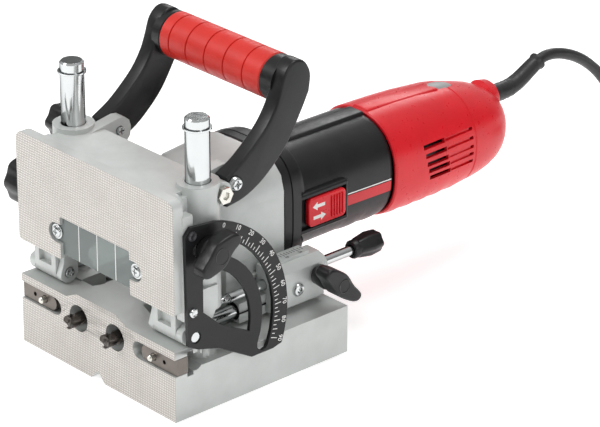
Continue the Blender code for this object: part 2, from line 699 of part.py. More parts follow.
def make_fence():
    """The tilting fence: plate with barrels, sight window, screws and hinge pins."""
    half = FENCE_WIDTH / 2
    outline = rounded([(-half, FENCE_BOTTOM), (-WINDOW_HALF, FENCE_BOTTOM),
                       (-WINDOW_HALF, WINDOW_TOP), (WINDOW_HALF, WINDOW_TOP),
                       (WINDOW_HALF, FENCE_BOTTOM), (half, FENCE_BOTTOM),
                       (half, FENCE_TOP), (-half, FENCE_TOP)],
                      [2, 1, 1, 1, 1, 2, FENCE_CORNER, FENCE_CORNER])
    fence = plate("fence_plate", "Y", 0, FENCE_THICK, outline)
    flange = box("side_flange", (OUTER_LUG[0] + 1, QUADRANT_INNER - GAP),
                 (FENCE_THICK - 1, 13.0), (60.0, 122.0))
    join(fence, flange)
    for name, side in sides():
        arm = plate(f"fence_arm_{name}", "X",
                    *span(side, INNER_LUG[1] + GAP, OUTER_LUG[0] - GAP), fence_arm_outline())
        join(fence, arm)
    for name, side in sides():
        pocket = plate(f"ear_pocket_{name}", "Y", -1, 4.7, ear_outline(side, GAP))
        thread = rod(f"ear_thread_{name}", "Y", (side * EAR_X, 0, EAR_Z), 1.5 + GAP,
                     -1, FENCE_THICK + 2, 10)
        pin_bore = rod(f"barrel_bore_{name}", "X", (0, HINGE_Y, HINGE_Z), PIN_RADIUS + GAP,
                       *span(side, 30, 75), 14)
        cut(fence, pocket, thread, pin_bore)
    for z in QUADRANT_SCREWS:
        cut(fence, rod(f"quadrant_thread_{int(z)}", "X", (0, QUADRANT_SCREW_Y, z), 1.7, 60, 75, 10))
    finish_piece(fence, "milled", (0, HINGE_Y, HINGE_Z))
    window = plate("sight_window", "Y", 2.0, 4.4,
                   rectangle(-WINDOW_HALF + GAP, WINDOW_HALF - GAP, FENCE_BOTTOM + 2.6,
                             WINDOW_TOP - GAP))
    for name, side in sides():
        join(window, plate(f"window_ear_{name}", "Y", 2.0, 4.4, ear_outline(side, 0)))
        cut(window, rod(f"window_bore_{name}", "Y", (side * EAR_X, 0, EAR_Z), 1.5 + GAP,
                        0, 6, 10))
        head = [(-0.2, 0), (-0.2, 2.2), (0.6, 3.4), (1.2, 3.4), (1.2, 4.6), (1.7, 4.6),
                (1.7, 1.5), (6.8, 1.5), (6.8, 0)]
        screw = turned(f"window_screw_{name}", "Y", (side * EAR_X, 0, EAR_Z), head, 14)
        finish_piece(screw, "chrome", (side * EAR_X, 0, EAR_Z))
        reach = QUADRANT_INNER + 1.6 if side > 0 else OUTER_LUG[1] + 1.0
        pin = rod(f"hinge_pin_{name}", "X", (0, HINGE_Y, HINGE_Z), PIN_RADIUS,
                  *span(side, INNER_LUG[0] - 1, reach), 16)
        finish_piece(pin, "chrome", (side * 50, HINGE_Y, HINGE_Z))
    finish_piece(window, "clear", (0, HINGE_Y, HINGE_Z))


def ear_outline(side, margin):
    """The rounded ear of the sight window, on one side."""
    radius = EAR_RADIUS + margin
    inner = WINDOW_HALF - 1.5
    if side > 0:
        return [(inner, EAR_Z - radius), *arc(EAR_X, EAR_Z, radius, -90, 90, 6),
                (inner, EAR_Z + radius)]
    return [(-inner, EAR_Z + radius), *arc(-EAR_X, EAR_Z, radius, 90, 270, 6),
            (-inner, EAR_Z - radius)]


def make_quadrant():
    """The angle plate: an arc with a slot about the hinge, a lower arm and a front strip."""
    outer = arc(HINGE_Y, HINGE_Z, QUADRANT_RADIUS, -21, 77, 16)
    outline = [(HINGE_Y - 5.5, HINGE_Z - 4), (HINGE_Y + 1, HINGE_Z - 7.5), (28, 38), (52, 24.3),
               (68, 24.3), *outer, (9.5, HINGE_Z + 66.5), (5.2, HINGE_Z + 62)]
    low, high = SLOT_ANGLES
    half = SLOT_WIDTH / 2
    ends = [(HINGE_Y + SLOT_RADIUS * cos(radians(a)), HINGE_Z + SLOT_RADIUS * sin(radians(a)))
            for a in (low, high)]
    slot = [*arc(HINGE_Y, HINGE_Z, SLOT_RADIUS + half, low, high, 12),
            *arc(*ends[1], half, high, high + 180, 5)[1:-1],
            *arc(HINGE_Y, HINGE_Z, SLOT_RADIUS - half, high, low, 12),
            *arc(*ends[0], half, low + 180, low + 360, 5)[1:-1]]
    inner = [*arc(HINGE_Y, HINGE_Z, SLOT_RADIUS - half - 8.5, -13, 66, 9),
             (17.5, HINGE_Z + 33), (17.5, HINGE_Z + 13.5), (31, HINGE_Z + 1)]
    holes = [slot, inner, circle(HINGE_Y, HINGE_Z, PIN_RADIUS + 0.5, 14)]
    holes += [circle(QUADRANT_SCREW_Y, z, 1.7, 10) for z in QUADRANT_SCREWS]
    quadrant = plate("angle_quadrant", "X", QUADRANT_INNER,
                     QUADRANT_INNER + QUADRANT_THICK, outline, holes)
    finish_piece(quadrant, "black", (QUADRANT_INNER, HINGE_Y, HINGE_Z))


def knob(name, axis, centre, start, end, radius, lobes, depth, stem, finish="black"):
    """A lobed clamping knob with its screw, turned about an axis; stem is (end, radius)."""
    outline = []
    steps = lobes * 6
    for i in range(steps):
        a = 2 * pi * i / steps
        r = radius - depth * (1 - cos(lobes * a)) / 2
        outline.append((r * cos(a), r * sin(a)))
    across = {"X": (centre[1], centre[2]), "Y": (centre[0], centre[2])}[axis]
    outline = [(across[0] + u, across[1] + v) for u, v in outline]
    body = plate(name, axis, start, end, outline)
    near = min((start, end), key=lambda t: abs(t - stem[0]))
    inside = near + (0.5 if near < max(start, end) else -0.5)
    low, high = sorted((stem[0], inside))
    join(body, rod(f"{name}_stem", axis, centre, stem[1], low, high, 14))
    return finish_piece(body, finish, centre)


def wing_outline(radius, hub, width, turn):
    """A two-winged knob's outline about its middle, turned by an angle."""
    points = [*arc(radius, 0, width / 2, -90, 90, 5), *arc(0, 0, hub, 50, 130, 5),
              *arc(-radius, 0, width / 2, 90, 270, 5), *arc(0, 0, hub, 230, 310, 5)]
    c, s = cos(radians(turn)), sin(radians(turn))
    return [(u * c - v * s, u * s + v * c) for u, v in points]


def wing_knob(name, centre, hub_span, wing_span, stem, size, turn):
    """A wing knob about an axis along X, with its hub, its wings and its screw."""
    radius, hub, width = size
    body = rod(name, "X", centre, hub, *hub_span, 16)
    wings = plate(f"{name}_wings", "X", *wing_span,
                  [(centre[1] + u, centre[2] + v)
                   for u, v in wing_outline(radius, hub - 0.7, width, turn)])
    shaft = rod(f"{name}_stem", "X", centre, stem[2], stem[0], stem[1], 14)
    join(body, wings, shaft)
    return finish_piece(body, "black", centre)


def make_clamps():
    """The clamping knobs of the fence angle, the height and the depth rod."""
    outside = QUADRANT_INNER + QUADRANT_THICK + GAP
    wing_knob("angle_knob", (0, STUD_Y, STUD_Z), (outside, outside + 4),
              (outside + 2.5, outside + 14.5), (POST_X + POST_RADIUS + 2, outside + 1, STUD_RADIUS),
              (10.6, 7.6, 9.6), 42)
    wing_knob("depth_lock_knob", (0, DEPTH_LOCK_Y, DEPTH_Z),
              (DEPTH_BLOCK_OUTER + 1, DEPTH_BLOCK_OUTER + 13),
              (DEPTH_BLOCK_OUTER + 11, DEPTH_BLOCK_OUTER + 25),
              (DEPTH_X + DEPTH_ROD_RADIUS + GAP, DEPTH_BLOCK_OUTER + 2, 2.5),
              (12.5, 8.0, 9.0), -38)
    knob("height_lock_knob", "X", (0, EAR_BOLT_Y, EAR_BOLT_Z), -HEIGHT_LOCK_REACH,
         -POST_X - CARRIAGE_BOSS_RADIUS - 0.6, HEIGHT_LOCK_RADIUS, 6, 1.4, (-POST_X - 2, 2.0))
    adjuster = knob("height_knob", "X", (0, RACK_PINION_Y, RACK_Z), *HEIGHT_KNOB,
                    HEIGHT_KNOB_RADIUS, 8, 1.2, (RACK_PINION[0] + 1, 3.0))
    teeth = gear_outline(RACK_TEETH, 0.0, RACK_PINION_Y, RACK_Z, 0.8)
    join(adjuster, plate("rack_pinion", "X", *RACK_PINION, teeth))


# ---------------------------------------------------------------- handle


def smooth(points, steps=4):
    """A smooth open curve through points."""
    ends = [points[0], *points, points[-1]]
    path = []
    for a, b, c, d in zip(ends, ends[1:], ends[2:], ends[3:]):
        for k in range(steps):
            t = k / steps
            path.append(tuple(
                0.5 * (2 * q + (r - p) * t + (2 * p - 5 * q + 4 * r - s) * t * t
                       + (3 * q - p - 3 * r + s) * t ** 3)
                for p, q, r, s in zip(a, b, c, d)))
    return [*path, points[-1]]


def arm_outline():
    """A handle arm seen from the side: foot behind the bolt ear, neck and round end."""
    front = smooth([(50.0, 131.5), (58.0, 136.0), (67.0, 143.0), (76.0, 151.5), (82.5, 161.0),
                    (86.0, 169.5)], 3)
    back = smooth([(107.0, 164.0), (101.0, 153.0), (91.5, 138.0), (82.0, 128.0), (71.0, 119.5),
                   (59.0, 114.0), (47.0, 112.0)], 3)
    end = smooth([(86.0, 169.5), (89.5, 179.0), (96.0, 184.3), (103.5, 182.5), (108.0, 174.5),
                  (107.0, 164.0)], 3)
    foot = EAR_BOLT_RADIUS + 0.6
    notch = arc(EAR_BOLT_Y, EAR_BOLT_Z, foot, -55, 42, 6)
    return [*front[:-1], *end[:-1], *back, (44.6, 112.8), *notch, (46.4, 130.0)]


def make_handle():
    """The two arms, the grip between them and the screws that hold the arms."""
    end = SCREW_Y, SCREW_Z
    for name, side in sides():
        arm = plate(f"handle_arm_{name}", "X", *span(side, ARM_INNER, ARM_INNER + ARM_THICK),
                    arm_outline(), [circle(*end, 2.5 + GAP, 10)])
        collar = rod(f"collar_{name}", "X", (0, GRIP_Y, GRIP_Z), GRIP_RADIUS - 1.0,
                     *span(side, GRIP_HALF + GAP, ARM_INNER + 1), 20)
        join(arm, collar)
        finish_piece(arm, "black")
        head = ARM_INNER + ARM_THICK + GAP
        foot = ARM_INNER - HANDLE_EAR_THICK - 2
        profile = [(side * foot, 0), (side * foot, 2.5), (side * head, 2.5),
                   (side * head, 4.5), (side * (head + 1.6), 4.2), (side * (head + 2.6), 3.0),
                   (side * (head + 2.6), 0)]
        screw = turned(f"handle_screw_{name}", "X", (0, SCREW_Y, SCREW_Z), profile, 14)
        cut(screw, plate(f"hex_socket_{name}", "X", *span(side, head + 1, head + 5),
                         circle(*end, 1.6, 6)))
        finish_piece(screw, "chrome")
    grip = rod("grip", "X", (0, GRIP_Y, GRIP_Z), GRIP_RADIUS, -GRIP_HALF, GRIP_HALF)
    finish_piece(grip, "grip")
    bolt = rod("ear_bolt", "X", (0, EAR_BOLT_Y, EAR_BOLT_Z), 2.0,
               POST_X + 2, EAR_BOLT_REACH + 1, 10)
    join(bolt, plate("bolt_head", "X", EAR_BOLT_REACH + GAP, EAR_BOLT_REACH + 4,
                     circle(EAR_BOLT_Y, EAR_BOLT_Z, 5.2, 6)))
    finish_piece(bolt, "bright")


# ---------------------------------------------------------------- gear train


def gear_outline(teeth, phase, u, v, slack=BACKLASH):
    """A spur gear's outline, with straight flanks, about u, v; phase turns it, in degrees."""
    pitch_radius = teeth * MODULE / 2
    tip, root = pitch_radius + 0.75 * MODULE, pitch_radius - 1.15 * MODULE
    step = 2 * pi / teeth
    foot = (0.32 - slack / (2 * pi)) * step
    top = (0.16 - slack / (4 * pi)) * step
    outline = []
    for i in range(teeth):
        a = radians(phase) + i * step
        for angle, radius in ((a - foot, root), (a - top, tip), (a + top, tip), (a + foot, root)):
            outline.append((u + radius * cos(angle), v + radius * sin(angle)))
    return outline


def idler_height():
    """The idler's height, from the spindles' pitch and the two gears' pitch radii."""
    reach = (IDLER_TEETH + SPINDLE_TEETH) * MODULE / 2
    return BIT_HEIGHT + math.sqrt(reach**2 - (BIT_PITCH / 2) ** 2)


def motor_height():
    """The motor axis's height, one gear step above the idler."""
    return idler_height() + (PINION_TEETH + IDLER_TEETH) * MODULE / 2


def make_gears():
    """The armature pinion, the idler and the two spindles with their bits."""
    gear_end = GEAR_START + GEAR_WIDTH
    idler_z = idler_height()
    shaft = turned("armature_shaft", "Y", (0, 0, motor_height()),
                   [(gear_end - 1, 0), (gear_end - 1, 3.5), (110.3, 3.5), (110.3, 4.0),
                    (216.0, 4.0), (216.0, 0)], 14)
    pinion = plate("pinion_teeth", "Y", GEAR_START, gear_end,
                   gear_outline(PINION_TEETH, -90.0, 0, motor_height()))
    join(shaft, pinion)
    finish_piece(shaft, "steel", (0, GEAR_START, motor_height()))
    tooth_gap = 180.0 / IDLER_TEETH
    idler = plate("idler_gear", "Y", GEAR_START, gear_end,
                  gear_outline(IDLER_TEETH, 90.0 + tooth_gap, 0, idler_z),
                  [circle(0, idler_z, 4.0 + GAP, 16)])
    finish_piece(idler, "steel", (0, GEAR_START, idler_z))
    for name, side in sides():
        x = side * BIT_PITCH / 2
        line = math.degrees(math.atan2(BIT_HEIGHT - idler_z, x))
        profile = [(34.0, 0), (34.0, 6.2), (35.0, 7.0), (GEAR_START + 1, 7.0),
                   (GEAR_START + 1, 7.5), (gear_end - 1, 7.5), (gear_end - 1, 4.5),
                   (CASE_REAR - 1, 4.5), (CASE_REAR - 1, 0)]
        spindle = turned(f"spindle_{name}", "Y", (x, 0, BIT_HEIGHT), profile, 16)
        join(spindle, plate(f"spindle_teeth_{name}", "Y", GEAR_START, gear_end,
                            gear_outline(SPINDLE_TEETH, spindle_phase(line), x, BIT_HEIGHT)))
        cut(spindle, rod(f"bit_socket_{name}", "Y", (x, 0, BIT_HEIGHT), BIT_RADIUS + GAP,
                         30, 58 + GAP, 14))
        finish_piece(spindle, "steel", (x, GEAR_START, BIT_HEIGHT))
        tip = -BIT_PROUD
        bit = turned(f"bit_{name}", "Y", (x, 0, BIT_HEIGHT),
                     [(tip, 0), (tip + 2.4, 0.9), (tip + 2.4, BIT_RADIUS - 0.6),
                      (tip + 1.4, BIT_RADIUS), (31.0, BIT_RADIUS), (58.0, BIT_RADIUS),
                      (58.0, 0)], 16)
        flutes = [tube(f"flute_{name}_{k}", flute_places(x, tip, k), 1.5, 1) for k in (0, 1)]
        cut(bit, *flutes)
        finish_piece(bit, "steel", (x, GEAR_START, BIT_HEIGHT))


def spindle_phase(line):
    """The phase that lets a spindle's teeth fall between the idler's, along the line of centres."""
    idler_step = 360.0 / IDLER_TEETH
    spindle_step = 360.0 / SPINDLE_TEETH
    idler_phase = 90.0 + 180.0 / IDLER_TEETH
    off = (line - idler_phase) / idler_step
    part = off - math.floor(off)
    return line + 180.0 + (0.5 + part) * spindle_step


def flute_places(x, tip, k):
    """The path of one flute along a bit."""
    places = []
    for i in range(10):
        a = pi * k + 2 * pi * i / 7
        places.append((x + 4.6 * cos(a), tip - 1 + i * 3.4, BIT_HEIGHT + 4.6 * sin(a)))
    return places


# ---------------------------------------------------------------- plunge unit


def gear_plate_outline(margin):
    """The plate that closes the gear room: wide over the spindles, narrow over the motor."""
    half = [(33, 19.2), (33, 47), (21, 52), (14, 72), (14, 90)]
    right = [(x + margin, z - margin if z < 20 else z) for x, z in half]
    right[-1] = (right[-1][0], right[-1][1] + margin)
    return rounded(right + [(-x, z) for x, z in reversed(right)], 1.0, 2)


def make_gearbox():
    """The gearbox casing, its rear plate and the bushes that it carries."""
    idler_z = idler_height()
    case = loft("gearbox_casing", [
        (CASE_FRONT, tunnel(31, CASE_TOP - 7, 42, 16)),
        (CASE_FRONT + 7, tunnel(35, CASE_TOP - 2.5, 40, 18)),
        (CASE_REAR, tunnel(CASE_HALF, CASE_TOP, 38, 18)),
    ])
    lower = box("case_lower", (-36, 36), (CASE_FRONT, CASE_REAR), (CASE_BOTTOM, 62))
    join(case, lower)
    for name, side in sides():
        ear = box(f"case_ear_{name}", span(side, 34, ROD_X + 5.4),
                  (CASE_FRONT, CASE_FRONT + EAR_LENGTH), (ROD_Z - 6, ROD_Z + 6))
        join(case, ear)
    depth_arm = box("depth_arm", (34, DEPTH_X - 6), (DEPTH_BLOCK[0] + 3, CASE_REAR),
                    (DEPTH_Z - 14, DEPTH_Z + 9))
    join(case, depth_arm)
    room = [rod("room_pinion", "Y", (0, 0, motor_height()), 12, GEAR_START - 1.5, CASE_REAR + 5, 20),
            rod("room_idler", "Y", (0, 0, idler_z), 19, GEAR_START - 1.5, CASE_REAR + 5, 20)]
    for name, side in sides():
        x = side * BIT_PITCH / 2
        room += [
            rod(f"room_spindle_{name}", "Y", (x, 0, BIT_HEIGHT), 14.5, GEAR_START - 1.5,
                CASE_REAR + 5, 20),
            rod(f"bush_seat_{name}", "Y", (x, 0, BIT_HEIGHT), 9.3, CASE_FRONT - 5, CASE_REAR, 16),
            rod(f"guide_seat_{name}", "Y", (side * ROD_X, 0, ROD_Z), 5.5,
                CASE_FRONT - 5, CASE_FRONT + EAR_LENGTH + 5, 16),
            rod(f"guide_clearance_{name}", "Y", (side * ROD_X, 0, ROD_Z), 5.0,
                CASE_FRONT + EAR_LENGTH, CASE_REAR + 5, 14),
        ]
    room.append(box("motor_room", (-26, 26), (CASE_REAR - 7, CASE_REAR + 5), (74, 100)))
    room.append(rod("spring_pocket", "Y", (0, 0, SPRING_Z), SPRING_RADIUS + 1.3,
                    CASE_FRONT - 5, CASE_REAR + 5, 14))
    room.append(plate("plate_recess", "Y", CASE_REAR - 7 - GAP, CASE_REAR + 5,
                      gear_plate_outline(GAP)))
    cut(case, *room)
    idler_post = rod("idler_post", "Y", (0, 0, idler_z), 4.0, GEAR_START - 3,
                     GEAR_START + GEAR_WIDTH + 1, 16)
    join(case, idler_post)
    finish_piece(case, "cast")
    for name, side in sides():
        x = side * BIT_PITCH / 2
        bush = ring(f"spindle_bush_{name}", "Y", (x, 0, BIT_HEIGHT), 7.0 + GAP, 9.0,
                    CASE_FRONT + 1, GEAR_START - 1.5 - GAP, 16)
        finish_piece(bush, "brass")
        guide = ring(f"guide_bush_{name}", "Y", (side * ROD_X, 0, ROD_Z), ROD_RADIUS + GAP, 5.2,
                     CASE_FRONT + 0.3, CASE_FRONT + EAR_LENGTH, 16)
        finish_piece(guide, "black")
    holes = [circle(0, motor_height(), 11.3, 20)]
    holes += [circle(s * BIT_PITCH / 2, BIT_HEIGHT, 4.5 + GAP, 14) for _, s in sides()]
    cover = plate("gear_plate", "Y", CASE_REAR - 7, CASE_REAR - 2.5, gear_plate_outline(0), holes)
    finish_piece(cover, "cast")


def make_motor():
    """The motor: housing, rear cover, stator, armature, bearings, brushes and switch."""
    z = motor_height()
    front = CASE_REAR + GAP
    housing = loft("motor_housing", [
        (front, tunnel(36.8, CASE_TOP + 1.2, z - 34, 17)),
        (front + 16, tunnel(36.4, CASE_TOP + 0.6, z - 34, 18)),
        (front + 20, tunnel(31.5, z + 32.6, z - 31.5, 25)),
        (HOUSING_REAR, tunnel(31.0, z + 32.2, z - 31.2, 27)),
    ])
    rail = plate("switch_rail", "Y", 118, 162,
                 [(27, z - 19), (34, z - 14), (34, z + 9.5), (27, z + 14)])
    join(housing, rail)
    inner = loft("housing_room", [
        (front + 4, tunnel(28.6, z + 29, z - 28.6, 22)),
        (HOUSING_REAR + 5, tunnel(28.4, z + 29, z - 28.6, 24)),
    ])
    bore = rod("housing_bore", "Y", (0, 0, z), 11.3, CASE_REAR - 5, front + 10, 16)
    recess = box("switch_recess", (31.4, 50), SWITCH_RECESS, SWITCH_HEIGHT)
    stem = box("switch_slot", (20, 50), (130, 150), (z - 5, z + 1))
    cut(housing, inner, bore, recess, stem)
    finish_piece(housing, "black")
    cover_start = HOUSING_REAR + GAP
    outside = [
        (cover_start, 33.2, 33.4, 33.2, 30), (235, 33.0, 32.6, 33.4, 30),
        (262, 31.5, 30.4, 33.0, 28), (280, 29.4, 26.5, 31.0, 25), (293, 26.5, 22.5, 27.0, 21),
        (301, 21.5, 18.0, 21.0, 17), (COVER_END - 1.5, 14, 12, 14, 10),
    ]
    cover = loft("rear_cover", [(y, tunnel(w, z + t, z - b, c)) for y, w, t, b, c in outside])
    boss = rod("cord_boss", "Y", (0, 0, CORD_EXIT[2]), 11, 276, COVER_END, 20)
    join(cover, boss)
    hollow = loft("cover_room", [
        (cover_start - 5, tunnel(29.5, z + 30.5, z - 29.5, 26)),
        (260, tunnel(28.5, z + 28.6, z - 29.8, 25)),
        (282, tunnel(25, z + 23.5, z - 26, 22)),
        (298, tunnel(17, z + 15, z - 16, 14)),
    ])
    cut(cover, hollow)
    for level in VENT_LEVELS:
        for name, side in sides():
            cut(cover, box(f"vent_{name}_{level}", span(side, 28, 45), VENT_RUN,
                           (level - 0.9, level + 0.9)))
    cut(cover, rod("cord_entry", "Y", (0, 0, CORD_EXIT[2]), 6.2, 288, 320, 16))
    finish_piece(cover, "red")
    make_motor_inside(z)
    low, high = SWITCH_HEIGHT
    slider = plate("switch_slider", "X", 31.7, 35.6,
                   rounded(rectangle(SWITCH_RECESS[0] + 5.6, SWITCH_RECESS[1] - 0.6,
                                     low + 0.6, high - 0.6), 3))
    join(slider, box("slider_foot", (28.5, 32), (137, 143), (z - 4.6, z + 0.6)))
    for i in range(5):
        y = SWITCH_RECESS[1] - 2.6 - i * 2.0
        join(slider, box(f"slider_rib_{i}", (35, 36.3), (y - 0.5, y + 0.5), (low + 2, high - 2)))
    finish_piece(slider, "red", (35, 140, 74))


def make_motor_inside(z):
    """Everything inside the motor's two shells."""
    stator = turned("stator", "Y", (0, 0, z), [(132, 18.5), (132, 27.8), (176, 27.8),
                    (176, 18.5)], 20, True)
    finish_piece(stator, "iron")
    core = turned("armature_core", "Y", (0, 0, z), [(134, 4.3), (134, 17.5), (174, 17.5),
                  (174, 4.3)], 20, True)
    finish_piece(core, "iron", (0, 150, z))
    commutator = turned("commutator", "Y", (0, 0, z), [(182, 4.3), (182, 11), (196, 11),
                        (196, 4.3)], 20, True)
    finish_piece(commutator, "brass", (0, 189, z))
    fan = ring("cooling_fan", "Y", (0, 0, z), 4.3, 9, 119, 128, 14)
    blade = [(-1.0, 8.5), (1.0, 8.5), (2.4, 25), (0.6, 25)]
    for i in range(8):
        c, s = cos(i * pi / 4), sin(i * pi / 4)
        turned_blade = [(u * c - v * s, z + u * s + v * c) for u, v in blade]
        join(fan, plate(f"fan_blade_{i}", "Y", 120, 127, turned_blade))
    finish_piece(fan, "black", (0, 123, z))
    finish_piece(ring("front_bearing", "Y", (0, 0, z), 4.3, 11.0, 111.0, 117.6, 16), "steel")
    finish_piece(ring("rear_bearing", "Y", (0, 0, z), 4.3, 9.5, 206, 213, 16), "steel")
    for name, side in sides():
        brush = box(f"carbon_brush_{name}", span(side, 11.4, 26), (185, 193), (z - 4, z + 4))
        finish_piece(brush, "iron")


# ---------------------------------------------------------------- depth stop


def make_depth_stop():
    """The depth stop: a block on the gearbox's side, a stop rod and its end knob."""
    start, end = DEPTH_BLOCK
    block = plate("depth_stop_block", "Y", start, end,
                  rounded([(DEPTH_X - 6 + GAP, ROD_Z + 6.6), (ROD_X + 5.9, ROD_Z + 6.6),
                           (ROD_X + 5.9, DEPTH_Z - 16), (DEPTH_BLOCK_OUTER, DEPTH_Z - 16),
                           (DEPTH_BLOCK_OUTER, DEPTH_Z + 6), (DEPTH_BLOCK_OUTER - 4, DEPTH_Z + 11),
                           (DEPTH_X - 6 + GAP, DEPTH_Z + 11)], [0.6, 1, 1, 2, 1, 1, 0.6]))
    strip = box("depth_scale_strip", (DEPTH_X - 5, DEPTH_BLOCK_OUTER - 5), (start + 2, end - 7),
                (DEPTH_Z + 10.5, DEPTH_Z + 13))
    ring_boss = rod("rod_boss", "Y", (DEPTH_X, 0, DEPTH_Z), 7, end - 1, end + 5, 16)
    join(block, strip, ring_boss)
    bore = rod("depth_bore", "Y", (DEPTH_X, 0, DEPTH_Z), DEPTH_ROD_RADIUS + GAP,
               start - 5, end + 10, 14)
    lock_bore = rod("lock_bore", "X", (0, DEPTH_LOCK_Y, DEPTH_Z), 2.5 + GAP, DEPTH_X,
                    DEPTH_BLOCK_OUTER + 5, 12)
    cut(block, bore, lock_bore)
    finish_piece(block, "cast")
    centre = (DEPTH_X, 0, DEPTH_Z)
    low, high = DEPTH_KNOB
    stop_rod = turned("depth_rod", "Y", centre,
                      [(DEPTH_TIP, 0), (DEPTH_TIP, 1.6), (DEPTH_TIP + 6, 2.2),
                       (DEPTH_TIP + 6, DEPTH_ROD_RADIUS), (low - GAP, DEPTH_ROD_RADIUS),
                       (low - GAP, 2.0), (high - 3, 2.0), (high - 3, 0)], 16)
    finish_piece(stop_rod, "chrome", (DEPTH_X, DEPTH_TIP, DEPTH_Z))
    lobes = []
    for i in range(36):
        a = 2 * pi * i / 36
        r = DEPTH_KNOB_RADIUS - 0.4 * (1 - cos(6 * a))
        lobes.append((DEPTH_X + r * cos(a), DEPTH_Z + r * sin(a)))
    end_knob = plate("depth_knob", "Y", low + 3, high, lobes)
    join(end_knob, rod("depth_knob_neck", "Y", centre, 5, low, low + 4, 14))
    cut(end_knob, rod("depth_knob_bore", "Y", centre, 2.0 + GAP, low - 3, high - 3 + GAP, 12))
    finish_piece(end_knob, "black", (DEPTH_X, low, DEPTH_Z))


# ---------------------------------------------------------------- mains lead


def make_lead():
    """The cord with its boot, its coiled rest and its plug."""
    entry = turned("cord_boot", "Y", (0, 0, CORD_EXIT[2]),
                   [(291, 0), (291, 5.6), (COVER_END + GAP, 5.6), (COVER_END + GAP, 7.4),
                    (COVER_END + 3, 7.0), (COVER_END + 3, 0)], 14)
    join(entry, tube("boot_sleeve", smooth(list(BOOT_ROUTE), 2), 5.0))
    finish_piece(entry, "black")
    cord = tube("cord", smooth(list(CORD_ROUTE), 2), CORD_RADIUS)
    finish_piece(cord, "black")
    x, y = COIL_CENTRE
    low, high = COIL_MIDDLE - COIL_THICK / 2, COIL_MIDDLE + COIL_THICK / 2
    coil = turned("cord_coil", "Z", (x, y, 0),
                  [(0.4, low), (0.4, high), (COIL_THICK + 0.4, high - 1),
                   (COIL_THICK + 0.4, low + 1)], 20, True)
    finish_piece(coil, "black")
    body = turned("plug", "Y", PLUG_PLACE,
                  [(PLUG_PLACE[1] - 34, 0), (PLUG_PLACE[1] - 34, 5.2), (PLUG_PLACE[1] - 14, 6.4),
                   (PLUG_PLACE[1] - 12, 10.2), (PLUG_PLACE[1], 10.2), (PLUG_PLACE[1], 0)], 16)
    for name, side in sides():
        join(body, rod(f"plug_pin_{name}", "Y", (PLUG_PLACE[0] + side * 6.2, 0, PLUG_PLACE[2]),
                       2.3, PLUG_PLACE[1] - 1, PLUG_PLACE[1] + 19, 12))
    finish_piece(body, "black", PLUG_PLACE)


# ---------------------------------------------------------------- build


def main():
    """Build every piece."""
    clear_scene()
    make_base()
    make_posts()
    make_guides()
    make_index_plates()
    make_carriage()
    make_fence()
    make_quadrant()
    make_clamps()
    make_handle()
    make_gears()
    make_gearbox()
    make_motor()
    make_depth_stop()
    make_lead()


main()
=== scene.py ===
"""Looks of a twin-spindle joiner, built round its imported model.

Shop measure is used throughout: millimetres, with x from the middle plane, y counted
back from the front face of the head and z up from the sole. TO_ROW takes it to the row.
"""

import logging
import math
from dataclasses import dataclass
from enum import Enum
from typing import Iterable, Sequence

import bmesh
import bpy
from mathutils import Matrix, Vector


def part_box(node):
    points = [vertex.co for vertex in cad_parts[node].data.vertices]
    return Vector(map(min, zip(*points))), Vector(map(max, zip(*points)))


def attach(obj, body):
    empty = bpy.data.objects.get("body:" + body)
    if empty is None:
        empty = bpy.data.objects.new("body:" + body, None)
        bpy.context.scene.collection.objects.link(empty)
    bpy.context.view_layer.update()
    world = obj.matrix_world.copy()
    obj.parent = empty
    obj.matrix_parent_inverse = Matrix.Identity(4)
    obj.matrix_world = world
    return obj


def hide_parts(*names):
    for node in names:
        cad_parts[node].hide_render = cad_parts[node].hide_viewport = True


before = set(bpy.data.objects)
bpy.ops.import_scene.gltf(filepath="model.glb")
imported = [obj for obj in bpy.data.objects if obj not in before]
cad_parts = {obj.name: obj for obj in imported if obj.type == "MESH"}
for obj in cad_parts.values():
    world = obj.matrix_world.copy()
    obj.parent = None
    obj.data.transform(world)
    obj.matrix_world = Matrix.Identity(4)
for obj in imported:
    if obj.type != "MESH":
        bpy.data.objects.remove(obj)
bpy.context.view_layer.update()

logging.basicConfig(level=logging.INFO, format="%(message)s")
LOG = logging.getLogger("joiner")

MM = 0.001
HEAD_TO_MIDDLE = 64.0
TO_ROW = Matrix.Translation((0.0, -HEAD_TO_MIDDLE * MM, 0.0)) @ Matrix.Scale(MM, 4)
TO_SHOP = TO_ROW.inverted()
WELD = 2e-3
FLAT_ANGLE = math.radians(0.6)
FACING_OUT = Matrix(((0, 0, 1, 0), (1, 0, 0, 0), (0, 1, 0, 0), (0, 0, 0, 1)))

Point = tuple[float, float, float]
Pair = tuple[float, float]
Colour = tuple[float, float, float]
Hoop = tuple[float, ...]
SIDES = ((-1, "left"), (1, "right"))


class Axis(Enum):
    """The two directions that shapes are drawn out or turned about."""

    ACROSS = "X"
    ALONG = "Y"


class Slot(Enum):
    """The finish slots of the record."""

    MILLED = "milled"
    CAST = "cast"
    CHROME = "chrome"
    STEEL = "steel"
    SPRING = "spring"
    BRIGHT = "bright"
    IRON = "iron"
    BLACK = "black"
    RED = "red"
    GRIP = "grip"
    CLEAR = "clear"
    BRASS = "brass"
    CARBON = "carbon"
    RUBBER = "rubber"


# ------------------------------------------------------------------ finishes


